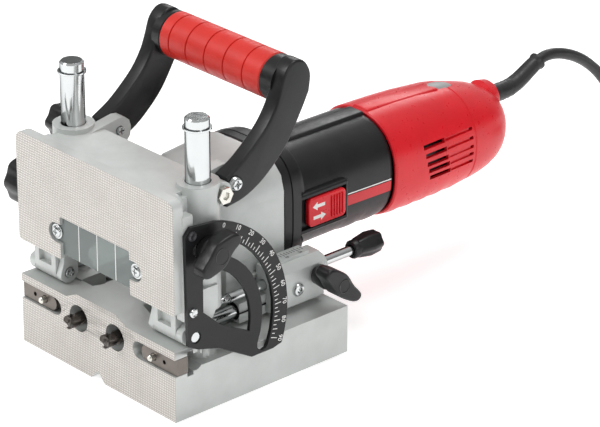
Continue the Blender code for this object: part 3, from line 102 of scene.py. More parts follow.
class Tree:
    """A node tree, with short ways to add to it."""

    def __init__(self, tree: bpy.types.NodeTree) -> None:
        """Take up a tree."""
        self.tree = tree

    def node(self, kind: str, settings: dict | None = None, **sockets: object) -> bpy.types.Node:
        """Add a node.

        Args:
            kind: the node's type, without its ShaderNode prefix.
            settings: attributes of the node.
            **sockets: a value or an output for each input, _ standing for a blank.

        Returns:
            The node.
        """
        made = self.tree.nodes.new(f"ShaderNode{kind}")
        for key, value in (settings or {}).items():
            setattr(made, key, value)
        for key, value in sockets.items():
            self.feed(made.inputs[key.replace("_", " ")], value)
        return made

    def feed(self, socket: bpy.types.NodeSocket, value: object) -> None:
        """Link an output to a socket, or set its value.

        Args:
            socket: the input.
            value: an output, a colour or a plain value.
        """
        if isinstance(value, bpy.types.NodeSocket):
            self.tree.links.new(value, socket)
        elif isinstance(value, tuple) and len(value) == 3 and socket.type == "RGBA":
            socket.default_value = (*value, 1.0)
        else:
            socket.default_value = value

    def spread(self, value: object, low: float, high: float, start: float = 0.0,
               end: float = 1.0) -> bpy.types.NodeSocket:
        """Take one range to another, clamped.

        Args:
            value: the output that is taken.
            low: what start becomes.
            high: what end becomes.
            start: the first range's start.
            end: the first range's end.

        Returns:
            The new output.
        """
        made = self.node("MapRange", {"clamp": True}, Value=value)
        for key, number in (("From Min", start), ("From Max", end), ("To Min", low),
                            ("To Max", high)):
            made.inputs[key].default_value = number
        return made.outputs["Result"]

    def sum(self, operation: str, a: object, b: object = 0.0) -> bpy.types.NodeSocket:
        """Work out one sum.

        Args:
            operation: the Math node's operation.
            a: its first value or output.
            b: its second.

        Returns:
            The result's output.
        """
        made = self.node("Math", {"operation": operation})
        self.feed(made.inputs[0], a)
        self.feed(made.inputs[1], b)
        return made.outputs[0]


class Graph(Tree):
    """The shader graph of one finish."""

    def __init__(self, name: str) -> None:
        """Start a material with a Principled shader and Object coordinates.

        Args:
            name: the material's name.
        """
        self.material = bpy.data.materials.new(name)
        self.material.use_nodes = True
        super().__init__(self.material.node_tree)
        self.shader = self.tree.nodes["Principled BSDF"]
        self.place = self.node("TexCoord").outputs["Object"]

    def noise(self, pitch: float, detail: float = 3.0,
              vector: object = None) -> bpy.types.NodeSocket:
        """Noise with features about pitch millimetres across."""
        return self.node("TexNoise", None, Vector=vector or self.place, Scale=1.0 / (pitch * MM),
                         Detail=detail).outputs["Fac"]

    def stretched(self, turn: Point, stretch: Point) -> bpy.types.NodeSocket:
        """The Object coordinates turned, in degrees, and then scaled."""
        angles = tuple(math.radians(a) for a in turn)
        return self.node("Mapping", {"vector_type": "POINT"}, Vector=self.place, Rotation=angles,
                         Scale=stretch).outputs["Vector"]

    def blend(self, factor: object, a: object, b: object) -> bpy.types.NodeSocket:
        """Mix two colours.

        Args:
            factor: the share of the second.
            a: the first.
            b: the second.

        Returns:
            The mix.
        """
        made = self.node("Mix", {"data_type": "RGBA"})
        self.feed(made.inputs["Factor"], factor)
        self.feed(made.inputs[6], a)
        self.feed(made.inputs[7], b)
        return made.outputs[2]

    def rounded(self, radius: float) -> bpy.types.NodeSocket:
        """The surface's normal, with edges softened over radius millimetres."""
        return self.node("Bevel", {"samples": 4}, Radius=radius * MM).outputs["Normal"]

    def relief(self, height: object, depth: float, strength: float = 1.0,
               normal: object = None) -> bpy.types.NodeSocket:
        """A bump in the surface.

        Args:
            height: its shape, from 0 to 1.
            depth: its depth in millimetres.
            strength: how much of it shows.
            normal: the normal that it starts from.

        Returns:
            The new normal.
        """
        made = self.node("Bump", None, Height=height, Strength=strength, Distance=depth * MM)
        if normal is not None:
            self.feed(made.inputs["Normal"], normal)
        return made.outputs["Normal"]

    def wear(self, radius: float) -> bpy.types.NodeSocket:
        """Find the edges.

        Args:
            radius: their width in millimetres.

        Returns:
            1 on edges and 0 on flats.
        """
        made = self.node("VectorMath", {"operation": "DOT_PRODUCT"})
        self.feed(made.inputs[0], self.rounded(radius))
        self.feed(made.inputs[1], self.node("NewGeometry").outputs["Normal"])
        return self.spread(made.outputs["Value"], 1.0, 0.0, EDGE_DOT, FLAT_DOT)


MADE: dict[str, bpy.types.Material] = {}
EDGE_DOT = 0.90
FLAT_DOT = 0.995
CLOUD_PITCH = 14.0
STREAK_PITCH = 3.0


@dataclass(frozen=True)
class Finish:
    """A plain finish: a colour with faint mottling, varied gloss and a fine grain."""

    name: str
    colour: Colour
    gloss: float
    metal: float = 0.0
    mottle: float = 0.12
    grain: float = 0.03
    grain_pitch: float = 0.5
    edge: float = 0.3
    shine: float = 0.5

    def material(self) -> bpy.types.Material:
        """Make the finish's material, once.

        Returns:
            The material.
        """
        if self.name not in MADE:
            graph = Graph(self.name)
            graph.shader.inputs["Metallic"].default_value = self.metal
            graph.shader.inputs["Specular IOR Level"].default_value = self.shine
            self.dress(graph)
            MADE[self.name] = graph.material
        return MADE[self.name]

    def dress(self, graph: Graph) -> None:
        """Fill in the graph.

        Args:
            graph: the finish's graph.
        """
        cloud = graph.noise(CLOUD_PITCH, 4.0)
        dark = tuple(c * (1.0 - self.mottle) for c in self.colour)
        light = tuple(min(1.0, c * (1.0 + self.mottle)) for c in self.colour)
        colour = graph.blend(graph.spread(cloud, 0.0, 1.0, 0.3, 0.7), dark, light)
        colour = self.tint(graph, colour)
        graph.feed(graph.shader.inputs["Base Color"], colour)
        streak = graph.noise(STREAK_PITCH, 3.0)
        graph.feed(graph.shader.inputs["Roughness"],
                   graph.spread(streak, self.gloss * 0.82, self.gloss * 1.2, 0.3, 0.7))
        graph.feed(graph.shader.inputs["Normal"], self.surface(graph))

    def tint(self, graph: Graph, colour: bpy.types.NodeSocket) -> bpy.types.NodeSocket:
        """The colour after wear; the plain finish has none."""
        return colour

    def surface(self, graph: Graph) -> bpy.types.NodeSocket:
        """Lay the grain over the softened edges.

        Args:
            graph: the finish's graph.

        Returns:
            The surface's normal.
        """
        flat = graph.node("NewGeometry").outputs["Normal"]
        soft = graph.rounded(self.edge) if self.edge else flat
        if not self.grain:
            return soft
        return graph.relief(graph.noise(self.grain_pitch, 2.0), self.grain, 0.6, soft)


@dataclass(frozen=True)
class WornFinish(Finish):
    """A painted or blasted casting, rubbed brighter along its edges and dusty in patches."""

    worn: Colour = (0.80, 0.80, 0.78)

    def tint(self, graph: Graph, colour: bpy.types.NodeSocket) -> bpy.types.NodeSocket:
        """Brighten the edges, broken up by noise.

        Args:
            graph: the finish's graph.
            colour: the colour before wear.

        Returns:
            The colour after it.
        """
        broken = graph.spread(graph.noise(1.6, 4.0), 0.0, 1.0, 0.42, 0.62)
        edge = graph.sum("MULTIPLY", graph.wear(0.5), broken)
        dust = graph.spread(graph.noise(30.0, 5.0), 0.0, 0.35, 0.5, 0.75)
        dull = graph.blend(dust, colour, tuple(c * 0.86 for c in self.colour))
        return graph.blend(graph.sum("MULTIPLY", edge, 0.7), dull, self.worn)


@dataclass(frozen=True)
class MilledFinish(Finish):
    """Cast metal whose foremost faces are milled bright and knurled against slipping, with painted
    shade in the knurl's pits.
    """

    knurl_pitch: float = 1.5
    front: float = -63.85
    top: Colour = (0.84, 0.81, 0.77)
    # painted shade in the knurl's pits
    pit_shade: Colour = (0.46, 0.43, 0.40)

    def knurl(self, graph: Graph) -> bpy.types.NodeSocket:
        """Rows and columns of points.

        Args:
            graph: the finish's graph.

        Returns:
            1 on the points and 0 in the pits.
        """
        scale = 2.0 * math.pi / (20.0 * self.knurl_pitch * MM)
        rows = [graph.node("TexWave", {"wave_type": "BANDS", "bands_direction": way},
                           Vector=graph.place, Scale=scale, Distortion=0.0).outputs["Fac"]
                for way in ("X", "Z")]
        return graph.spread(graph.sum("MULTIPLY", *rows), 0.0, 1.0, 0.05, 0.6)

    def foremost(self, graph: Graph) -> bpy.types.NodeSocket:
        """1 on the foremost faces and 0 elsewhere."""
        place = graph.node("SeparateXYZ", None, Vector=graph.place).outputs["Y"]
        return graph.spread(place, 1.0, 0.0, self.front * MM, (self.front + 0.15) * MM)

    def surface(self, graph: Graph) -> bpy.types.NodeSocket:
        """Knurl the front, and grain everything else like a sand casting.

        Args:
            graph: the finish's graph.

        Returns:
            The surface's normal.
        """
        grain = graph.relief(graph.noise(self.grain_pitch, 2.0), self.grain, 0.5,
                             graph.rounded(self.edge))
        height = graph.sum("MULTIPLY", self.knurl(graph), self.foremost(graph))
        return graph.relief(height, 0.22, 0.8, grain)

    def tint(self, graph: Graph, colour: bpy.types.NodeSocket) -> bpy.types.NodeSocket:
        """Bright milled points over pits darkened with painted shade in front, and rubbed edges
        elsewhere.

        Args:
            graph: the finish's graph.
            colour: the colour before wear.

        Returns:
            The colour after it.
        """
        cloud = graph.spread(graph.noise(22.0, 3.0), 0.72, 1.0, 0.35, 0.65)
        # the knurl's colour: bright milled metal on its points, painted shade in its pits
        points = graph.blend(graph.sum("MULTIPLY", self.knurl(graph), cloud), self.pit_shade, self.top)
        mask = self.foremost(graph)
        graph.feed(graph.shader.inputs["Metallic"], graph.spread(mask, self.metal, 0.45))
        rubbed = graph.blend(graph.sum("MULTIPLY", graph.wear(0.4), 0.5), colour,
                             (0.80, 0.80, 0.78))
        return graph.blend(mask, rubbed, points)


@dataclass(frozen=True)
class ChromeFinish(Finish):
    """Hard chrome with faint lengthwise scratches."""

    # painted shade: an edge tint darker than real chrome, so the plating darkens towards its
    # outline like a reflected dim room
    outline: Colour = (0.30, 0.31, 0.31)

    def dress(self, graph: Graph) -> None:
        """Darker towards its outline: painted shade in the edge tint, for the dim room that
        polished plating reflects.
        """
        super().dress(graph)
        graph.shader.inputs["Specular Tint"].default_value = (*self.outline, 1.0)

    def surface(self, graph: Graph) -> bpy.types.NodeSocket:
        """Hairline scratches."""
        hair = graph.noise(0.25, 2.0, graph.stretched((0, 0, 0), (1.0, 0.3, 0.08)))
        return graph.relief(hair, 0.006, 0.35, graph.rounded(self.edge))


@dataclass(frozen=True)
class ClearFinish(Finish):
    """Clear acrylic, lightly scratched."""

    passing: float = 0.45
    bending: float = 1.3

    def dress(self, graph: Graph) -> None:
        """Make a clear body with a slight tint.

        Args:
            graph: the finish's graph.
        """
        graph.shader.inputs["Base Color"].default_value = (*self.colour, 1.0)
        graph.shader.inputs["Transmission Weight"].default_value = self.passing
        graph.shader.inputs["IOR"].default_value = self.bending
        hair = graph.noise(1.2, 4.0, graph.stretched((0, 30, 0), (0.2, 1.0, 1.0)))
        graph.feed(graph.shader.inputs["Roughness"], graph.spread(hair, 0.03, 0.09, 0.45, 0.7))


@dataclass(frozen=True)
class TwistFinish(Finish):
    """Spun or drawn metal with rings about the tool's length."""

    def surface(self, graph: Graph) -> bpy.types.NodeSocket:
        """Turning rings."""
        rings = graph.noise(0.4, 2.0, graph.stretched((0, 0, 0), (0.1, 1.0, 0.1)))
        return graph.relief(rings, 0.02, 0.5, graph.rounded(self.edge))


MILLED = MilledFinish("milled_aluminium", (0.55, 0.57, 0.555), 0.38, metal=0.15, mottle=0.05,
                      grain=0.05, grain_pitch=0.9, edge=0.35)
CAST = WornFinish("cast_grey", (0.56, 0.585, 0.57), 0.38, metal=0.15, mottle=0.06, grain=0.04,
                  grain_pitch=0.9, edge=0.5)
CHROME = ChromeFinish("hard_chrome", (0.62, 0.64, 0.64), 0.13, metal=1.0, mottle=0.03, edge=0.2)
STEEL = TwistFinish("ground_steel", (0.17, 0.15, 0.135), 0.34, metal=0.9, mottle=0.12, edge=0.15)
DRILL = TwistFinish("drill_steel", (0.085, 0.075, 0.068), 0.30, metal=0.9, mottle=0.15, edge=0.1)
BRIGHT = Finish("zinc_plate", (0.66, 0.65, 0.60), 0.26, metal=0.95, mottle=0.10, edge=0.2)
IRON = Finish("blackened_iron", (0.06, 0.06, 0.065), 0.42, metal=0.7, edge=0.15)
BLACK = Finish("black_moulding", (0.010, 0.010, 0.011), 0.34, mottle=0.15, grain=0.006,
               grain_pitch=0.7, edge=0.0, shine=0.36)
SATIN = Finish("black_enamel", (0.011, 0.011, 0.012), 0.34, mottle=0.12, grain=0.006,
               grain_pitch=0.9, edge=0.0, shine=0.34)
PLATE = WornFinish("black_plate", (0.011, 0.011, 0.012), 0.34, mottle=0.12, grain=0.006,
                   grain_pitch=0.9, edge=0.3, shine=0.30, worn=(0.05, 0.05, 0.05))
RED = Finish("red_moulding", (0.66, 0.008, 0.016), 0.32, mottle=0.05, grain=0.0,
             edge=0.0, shine=0.42)
GRIP = Finish("grip_rubber", (0.66, 0.022, 0.014), 0.44, mottle=0.06, grain=0.012,
              grain_pitch=0.8, edge=0.0)
CLEAR = ClearFinish("clear_acrylic", (0.27, 0.31, 0.30), 0.05)
BRASS = TwistFinish("turned_brass", (0.72, 0.50, 0.20), 0.28, metal=1.0)
CARBON = Finish("carbon_block", (0.03, 0.03, 0.03), 0.6)
RUBBER = Finish("cord_rubber", (0.014, 0.014, 0.015), 0.42, mottle=0.15, grain=0.006, edge=0.0)
INK = Finish("white_ink", (0.82, 0.82, 0.80), 0.5, mottle=0.03, grain=0.0, edge=0.0)
DARK_INK = Finish("dark_engraving", (0.05, 0.05, 0.05), 0.6, mottle=0.05, grain=0.0, edge=0.0)
RED_INK = Finish("red_panel", (0.60, 0.008, 0.016), 0.35, mottle=0.04, grain=0.0, edge=0.0)
PALE = Finish("grey_button", (0.30, 0.31, 0.31), 0.40, mottle=0.08, edge=0.0)


# ------------------------------------------------------------------ shaping


def span(side: int, near: float, far: float) -> Pair:
    """Two distances from the middle plane on one side of it, the lower first."""
    return tuple(sorted((side * near, side * far)))


def linked(name: str, data: bpy.types.ID) -> bpy.types.Object:
    """Put a new object into the scene.

    Args:
        name: its name.
        data: its data.

    Returns:
        The object.
    """
    made = bpy.data.objects.new(name, data)
    bpy.context.scene.collection.objects.link(made)
    return made


def add(bm: bmesh.types.BMesh, other: bmesh.types.BMesh) -> bmesh.types.BMesh:
    """Put one mesh into another.

    Args:
        bm: the mesh that grows.
        other: the one that goes into it, which is freed.

    Returns:
        The first.
    """
    carrier = bpy.data.meshes.new("carrier")
    other.to_mesh(carrier)
    other.free()
    bm.from_mesh(carrier)
    bpy.data.meshes.remove(carrier)
    return bm


def slab(outline: Sequence[Pair], axis: Axis, start: float, end: float) -> bmesh.types.BMesh:
    """An outline drawn across an axis, drawn out between two planes.

    Args:
        outline: y, z pairs along ACROSS; x, z pairs along ALONG.
        axis: the direction of the drawing out.
        start: the first plane.
        end: the last plane.

    Returns:
        A closed mesh.
    """
    across = axis is Axis.ACROSS
    run = (end - start, 0, 0) if across else (0, end - start, 0)
    bm = bmesh.new()
    face = bm.faces.new([bm.verts.new((start, u, v) if across else (u, start, v))
                         for u, v in outline])
    grown = bmesh.ops.extrude_face_region(bm, geom=[face], use_keep_orig=True)["geom"]
    bmesh.ops.translate(bm, vec=run, verts=[g for g in grown if isinstance(g, bmesh.types.BMVert)])
    bmesh.ops.recalc_face_normals(bm, faces=bm.faces)
    return bm


def block(x: Pair, y: Pair, z: Pair) -> bmesh.types.BMesh:
    """A box between three pairs of planes.

    Args:
        x: the planes across the tool.
        y: the planes along it.
        z: the planes above the sole.

    Returns:
        A closed mesh.
    """
    bm = bmesh.new()
    bmesh.ops.create_cube(bm, size=1.0)
    bmesh.ops.scale(bm, vec=(x[1] - x[0], y[1] - y[0], z[1] - z[0]), verts=bm.verts)
    bmesh.ops.translate(bm, vec=(sum(x) / 2, sum(y) / 2, sum(z) / 2), verts=bm.verts)
    return bm


def turned(profile: Sequence[Pair], axis: Axis, centre: Point,
           steps: int = 48) -> bmesh.types.BMesh:
    """A profile spun about an axis.

    Args:
        profile: (position along the axis, radius) pairs.
        axis: the axis's direction.
        centre: a point on it; its part along the axis isn't used.
        steps: the count of steps round.

    Returns:
        A mesh, closed where the profile meets the axis or itself.
    """
    bm = bmesh.new()
    verts = [bm.verts.new((radius, 0.0, height)) for height, radius in profile]
    edges = [bm.edges.new(pair) for pair in zip(verts, verts[1:])]
    bmesh.ops.spin(bm, geom=verts + edges, cent=(0, 0, 0), axis=(0, 0, 1), angle=2 * math.pi,
                   steps=steps, use_merge=True)
    bmesh.ops.remove_doubles(bm, verts=bm.verts, dist=1e-4)
    across = axis is Axis.ACROSS
    lie = Matrix.Rotation(math.pi / 2, 3, "Y") if across else Matrix.Rotation(-math.pi / 2, 3, "X")
    bmesh.ops.rotate(bm, cent=(0, 0, 0), matrix=lie, verts=bm.verts)
    keep = (0, 1, 1) if across else (1, 0, 1)
    bmesh.ops.translate(bm, vec=[c * k for c, k in zip(centre, keep)], verts=bm.verts)
    bmesh.ops.recalc_face_normals(bm, faces=bm.faces)
    return bm


def ring_edges(verts: Iterable[bmesh.types.BMVert]) -> list[bmesh.types.BMEdge]:
    """The edges among some vertices."""
    inside = set(verts)
    return list({e for v in inside for e in v.link_edges if e.other_vert(v) in inside})


def hoop(bm: bmesh.types.BMesh, y: float, half: float, top: float, bottom: float, squareness: float,
         steps: int = 72, wave: float = 0.0) -> list[bmesh.types.BMEdge]:
    """A loop across the tool, between a circle (squareness 2) and a square.

    Args:
        bm: the mesh it goes into.
        y: its place along the tool.
        half: its half width.
        top: its top, in z.
        bottom: its bottom, in z.
        squareness: the power of its superellipse.
        steps: its count of points.
        wave: how far its underside is let down.

    Returns:
        The loop's edges.
    """
    made = bmesh.ops.create_circle(bm, cap_ends=False, segments=steps, radius=1.0)["verts"]
    middle, reach = (top + bottom) / 2, (top - bottom) / 2
    power = 2.0 / squareness
    for vert in made:
        c, s = vert.co.x, vert.co.y
        x = math.copysign(abs(c) ** power, c) * half
        z = math.copysign(abs(s) ** power, s) * reach + middle
        vert.co = (x, y, z - wave * max(0.0, -s) ** 2)
    return ring_edges(made)


def skin(stations: Sequence[Hoop], caps: bool = True) -> bmesh.types.BMesh:
    """A skin over hoops.

    Args:
        stations: each hoop's y, half, top, bottom, squareness and, if any, wave.
        caps: whether its ends are closed.

    Returns:
        The skin's mesh.
    """
    bm = bmesh.new()
    loops = [hoop(bm, *row[:5], wave=row[5] if len(row) > 5 else 0.0) for row in stations]
    for first, last in zip(loops, loops[1:]):
        bmesh.ops.bridge_loops(bm, edges=first + last)
    if caps:
        for loop in (loops[0], loops[-1]):
            bmesh.ops.contextual_create(bm, geom=loop)
    bmesh.ops.recalc_face_normals(bm, faces=bm.faces)
    return bm


def sweep(path: Sequence[Point], radii: Sequence[float], steps: int = 24) -> bmesh.types.BMesh:
    """A round bar along a path that runs back from the tool.

    Args:
        path: points on its centreline.
        radii: its radius at each.
        steps: the count of steps round.

    Returns:
        A closed mesh.
    """
    bm = bmesh.new()
    loops, places, side = [], [Vector(p) for p in path], Vector((1, 0, 0))
    for i, (here, radius) in enumerate(zip(places, radii)):
        ahead = places[min(i + 1, len(places) - 1)] - places[max(i - 1, 0)]
        up = ahead.cross(side).normalized()
        turn = Matrix((side, up, ahead.normalized())).transposed().to_4x4()
        verts = bmesh.ops.create_circle(bm, cap_ends=False, segments=steps, radius=radius,
                                        matrix=Matrix.Translation(here) @ turn)["verts"]
        loops.append(ring_edges(verts))
    for first, last in zip(loops, loops[1:]):
        bmesh.ops.bridge_loops(bm, edges=first + last)
    for loop in (loops[0], loops[-1]):
        bmesh.ops.contextual_create(bm, geom=loop)
    bmesh.ops.recalc_face_normals(bm, faces=bm.faces)
    return bm


def round_off(bm: bmesh.types.BMesh, edges: list[bmesh.types.BMEdge], width: float,
              segments: int) -> None:
    """Round some edges over a width."""
    bmesh.ops.bevel(bm, geom=edges, offset=width, offset_type="OFFSET", segments=segments,
                    profile=0.5, affect="EDGES", clamp_overlap=True, material=-1)


def soften(bm: bmesh.types.BMesh, width: float, segments: int = 3,
           angle: float = 40.0) -> bmesh.types.BMesh:
    """Round every edge sharper than an angle.

    Args:
        bm: the mesh.
        width: how wide the rounding is.
        segments: the count of strips in it.
        angle: the angle in degrees.

    Returns:
        The same mesh.
    """
    sharp = [e for e in bm.edges
             if len(e.link_faces) == 2 and e.calc_face_angle(0.0) > math.radians(angle)]
    round_off(bm, sharp, width, segments)
    return bm


def carve(bm: bmesh.types.BMesh, cutters: Sequence[bmesh.types.BMesh]) -> bmesh.types.BMesh:
    """Take some closed meshes out of another.

    Args:
        bm: the mesh that is cut, which is freed.
        cutters: the meshes taken out, which are freed.

    Returns:
        What is left.
    """
    holders = []
    for i, part in enumerate((bm, *cutters)):
        mesh = bpy.data.meshes.new(f"carve_{i}")
        part.to_mesh(mesh)
        part.free()
        holders.append(linked(f"carve_{i}", mesh))
    for cutter in holders[1:]:
        cut = holders[0].modifiers.new("cut", "BOOLEAN")
        cut.operation, cut.solver, cut.object = "DIFFERENCE", "EXACT", cutter
    bpy.context.view_layer.update()
    graph = bpy.context.evaluated_depsgraph_get()
    done = bpy.data.meshes.new_from_object(holders[0].evaluated_get(graph))
    result = bmesh.new()
    result.from_mesh(done)
    bpy.data.meshes.remove(done)
    for holder in holders:
        mesh = holder.data
        bpy.data.objects.remove(holder, do_unlink=True)
        bpy.data.meshes.remove(mesh)
    return result


def smooth_path(points: Sequence[Sequence[float]], steps: int = 4) -> list[tuple[float, ...]]:
    """A smooth open curve.

    Args:
        points: the points it goes through, of any dimension.
        steps: the count of steps between two of them.

    Returns:
        The curve's points.
    """
    ends = [points[0], *points, points[-1]]
    path = []
    for a, b, c, d in zip(ends, ends[1:], ends[2:], ends[3:]):
        for k in range(steps):
            t = k / steps
            path.append(tuple(0.5 * (2 * q + (r - p) * t + (2 * p - 5 * q + 4 * r - s) * t * t
                                     + (3 * q - p - 3 * r + s) * t ** 3)
                              for p, q, r, s in zip(a, b, c, d)))
    return [*path, tuple(points[-1])]


def piece(name: str, bm: bmesh.types.BMesh, finish: Finish, body: str,
          nodes: Sequence[str] = (), smooth: float = 38.0) -> bpy.types.Object:
    """Turn a mesh in shop measure into a finished piece that rides on a body.

    Args:
        name: the piece's name.
        bm: its mesh, which is freed.
        finish: what covers it.
        body: the CAD body that it moves with.
        nodes: the CAD nodes that it stands for.
        smooth: the angle, in degrees, under which edges are shaded round.

    Returns:
        The piece.
    """
    bmesh.ops.transform(bm, matrix=TO_ROW, verts=bm.verts)
    mesh = bpy.data.meshes.new(name)
    bm.to_mesh(mesh)
    bm.free()
    mesh.materials.clear()
    mesh.materials.append(finish.material())
    mesh.shade_smooth()
    mesh.set_sharp_from_angle(angle=math.radians(smooth))
    made = linked(name, mesh)
    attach(made, body)
    if nodes:
        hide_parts(*nodes)
    LOG.info("%-24s %6d faces on %s", name, len(mesh.polygons), body)
    return made


def merged(node: str) -> bmesh.types.BMesh:
    """A merged copy of a CAD node in shop measure.

    Args:
        node: the CAD node.

    Returns:
        The copy.
    """
    bm = bmesh.new()
    bm.from_mesh(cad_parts[node].data)
    bmesh.ops.transform(bm, matrix=TO_SHOP, verts=bm.verts)
    bmesh.ops.remove_doubles(bm, verts=bm.verts, dist=WELD)
    bmesh.ops.dissolve_limit(bm, angle_limit=FLAT_ANGLE, verts=bm.verts, edges=bm.edges)
    return bm


def recast(node: str, finish: Finish, body: str, rounding: float = 0.0,
           cutters: Sequence[bmesh.types.BMesh] = ()) -> bpy.types.Object:
    """A merged, rounded and cut copy of a CAD node, which stands for it.

    Args:
        node: the CAD node.
        finish: what covers it.
        body: the CAD body that it moves with.
        rounding: how wide its edges are rounded, in millimetres.
        cutters: closed meshes taken out of it.

    Returns:
        The piece.
    """
    bm = merged(node)
    if cutters:
        bm = carve(bm, cutters)
    if rounding:
        soften(bm, rounding, 2, 50.0)
    made = piece(f"{node}_body", bm, finish, body, (node,))
    if rounding:
        made.modifiers.new("even_shading", "WEIGHTED_NORMAL").keep_sharp = True
    return made


def cross(axis: Axis, centre: Point, faces: Pair, reach: float,
          width: float) -> list[bmesh.types.BMesh]:
    """The two slots of a cross recess.

    Args:
        axis: the screw's direction, ACROSS or ALONG.
        centre: a point on the screw's axis.
        faces: the planes, along the axis, that the recess lies between.
        reach: half the length of a slot.
        width: the width of a slot.

    Returns:
        A closed mesh for each slot.
    """
    x, y, z = centre
    wide, thin = (-reach, reach), (-width / 2, width / 2)
    cutters = []
    for u, v in ((wide, thin), (thin, wide)):
        if axis is Axis.ACROSS:
            cutters.append(block(faces, (y + u[0], y + u[1]), (z + v[0], z + v[1])))
        else:
            cutters.append(block((x + u[0], x + u[1]), faces, (z + v[0], z + v[1])))
    return cutters


def lettering(text: str, size: float, turn: Matrix, depth: float = 0.12) -> bmesh.types.BMesh:
    """Plain figures.

    Args:
        text: the figures.
        size: their size in millimetres.
        turn: where their middle is, and how they lie.
        depth: how far they stand out.

    Returns:
        Their mesh.
    """
    curve = bpy.data.curves.new("figures", "FONT")
    curve.body, curve.size = text, size
    curve.align_x, curve.align_y = "CENTER", "CENTER"
    curve.extrude, curve.resolution_u = depth / 2, 2
    holder = linked("figures", curve)
    bpy.context.view_layer.update()
    graph = bpy.context.evaluated_depsgraph_get()
    mesh = bpy.data.meshes.new_from_object(holder.evaluated_get(graph))
    bm = bmesh.new()
    bm.from_mesh(mesh)
    bmesh.ops.remove_doubles(bm, verts=bm.verts, dist=1e-4)
    bmesh.ops.transform(bm, matrix=turn, verts=bm.verts)
    bpy.data.objects.remove(holder, do_unlink=True)
    bpy.data.meshes.remove(mesh)
    return bm


# ------------------------------------------------------------------ studio


@dataclass
class Studio:
    """The camera, the floor and the soft lights."""

    camera_place: Point = (1281.83, -1008.53, 854.98)
    azimuth: float = 47.826
    elevation: float = 24.799
    lens: float = 196.49
    sensor: float = 36.0
    far: float = 50.0
    floor_size: float = 12.0
    floor_glow: float = 0.5
    glow: float = 0.55
    flags: int = 4
    flags_turn: float = 2.6
    flag_tone: float = 0.12
    aim: Point = (0.0, 0.05, 0.08)
    lamps: tuple[tuple[str, Point, float, float], ...] = (
        ("key", (-1.3, -1.9, 2.2), 1.1, 34.0),
        ("side", (2.4, -0.3, 1.2), 0.8, 9.0),
        ("top", (0.1, 0.5, 2.6), 1.2, 22.0),
        ("rim", (-1.6, 2.0, 1.4), 0.9, 10.0),
    )

    def light_the_room(self, tree: bpy.types.NodeTree) -> None:
        """Make a pale room with darker flags round its walls, for metal to reflect.

        Args:
            tree: the world's nodes.
        """
        room = Tree(tree)
        way = room.node("SeparateXYZ", None, Vector=room.node("TexCoord").outputs["Generated"])
        heading = room.sum("ARCTAN2", way.outputs["X"], way.outputs["Y"])
        wave = room.sum("ADD", room.sum("MULTIPLY", heading, float(self.flags)), self.flags_turn)
        wall = room.spread(room.sum("SINE", wave), self.flag_tone, 1.0, -0.5, 0.5)
        mixed = room.node("Mix", None, Factor=room.spread(way.outputs["Z"], 0.0, 1.0, 0.15, 0.75))
        room.feed(mixed.inputs[2], wall)
        room.feed(mixed.inputs[3], 1.0)
        back = tree.nodes["Background"]
        room.feed(back.inputs["Strength"], room.sum("MULTIPLY", mixed.outputs[0], self.glow))
        back.inputs["Color"].default_value = (1.0, 1.0, 1.0, 1.0)

    def set_camera(self) -> None:
        """Place the camera and aim it."""
        data = bpy.data.cameras.new("camera")
        data.lens, data.sensor_width, data.sensor_fit = self.lens, self.sensor, "HORIZONTAL"
        data.clip_end = self.far
        camera = linked("camera", data)
        az, el = math.radians(self.azimuth), math.radians(self.elevation)
        back = Vector((math.sin(az) * math.cos(el), -math.cos(az) * math.cos(el), math.sin(el)))
        right = Vector((math.cos(az), math.sin(az), 0.0))
        camera.matrix_world = (Matrix.Translation(TO_ROW @ Vector(self.camera_place))
                               @ Matrix((right, back.cross(right), back)).transposed().to_4x4())
        bpy.context.scene.camera = camera

    def lay_floor(self) -> None:
        """Lay a white floor."""
        bm = bmesh.new()
        bmesh.ops.create_grid(bm, x_segments=1, y_segments=1, size=self.floor_size / 2)
        mesh = bpy.data.meshes.new("floor")
        bm.to_mesh(mesh)
        bm.free()
        paper = Finish("floor_paper", (0.90, 0.90, 0.90), 0.85, mottle=0.004, grain=0.0,
                       edge=0.0).material()
        sheen = paper.node_tree.nodes["Principled BSDF"]
        sheen.inputs["Emission Color"].default_value = (1.0, 1.0, 1.0, 1.0)
        sheen.inputs["Emission Strength"].default_value = self.floor_glow
        mesh.materials.append(paper)
        linked("floor", mesh)

    def build(self) -> None:
        """Set the camera, the world, the lights and the floor."""
        self.set_camera()
        world = bpy.data.worlds.new("studio")
        world.use_nodes = True
        self.light_the_room(world.node_tree)
        bpy.context.scene.view_settings.view_transform = "Standard"
        bpy.context.scene.world = world
        for name, place, size, power in self.lamps:
            light = bpy.data.lights.new(name, "AREA")
            light.energy, light.size = power, size
            turn = (Vector(self.aim) - Vector(place)).to_track_quat("-Z", "Y")
            lamp = linked(name, light)
            lamp.matrix_world = Matrix.Translation(place) @ turn.to_matrix().to_4x4()
        self.lay_floor()


# ------------------------------------------------------------------ mains lead


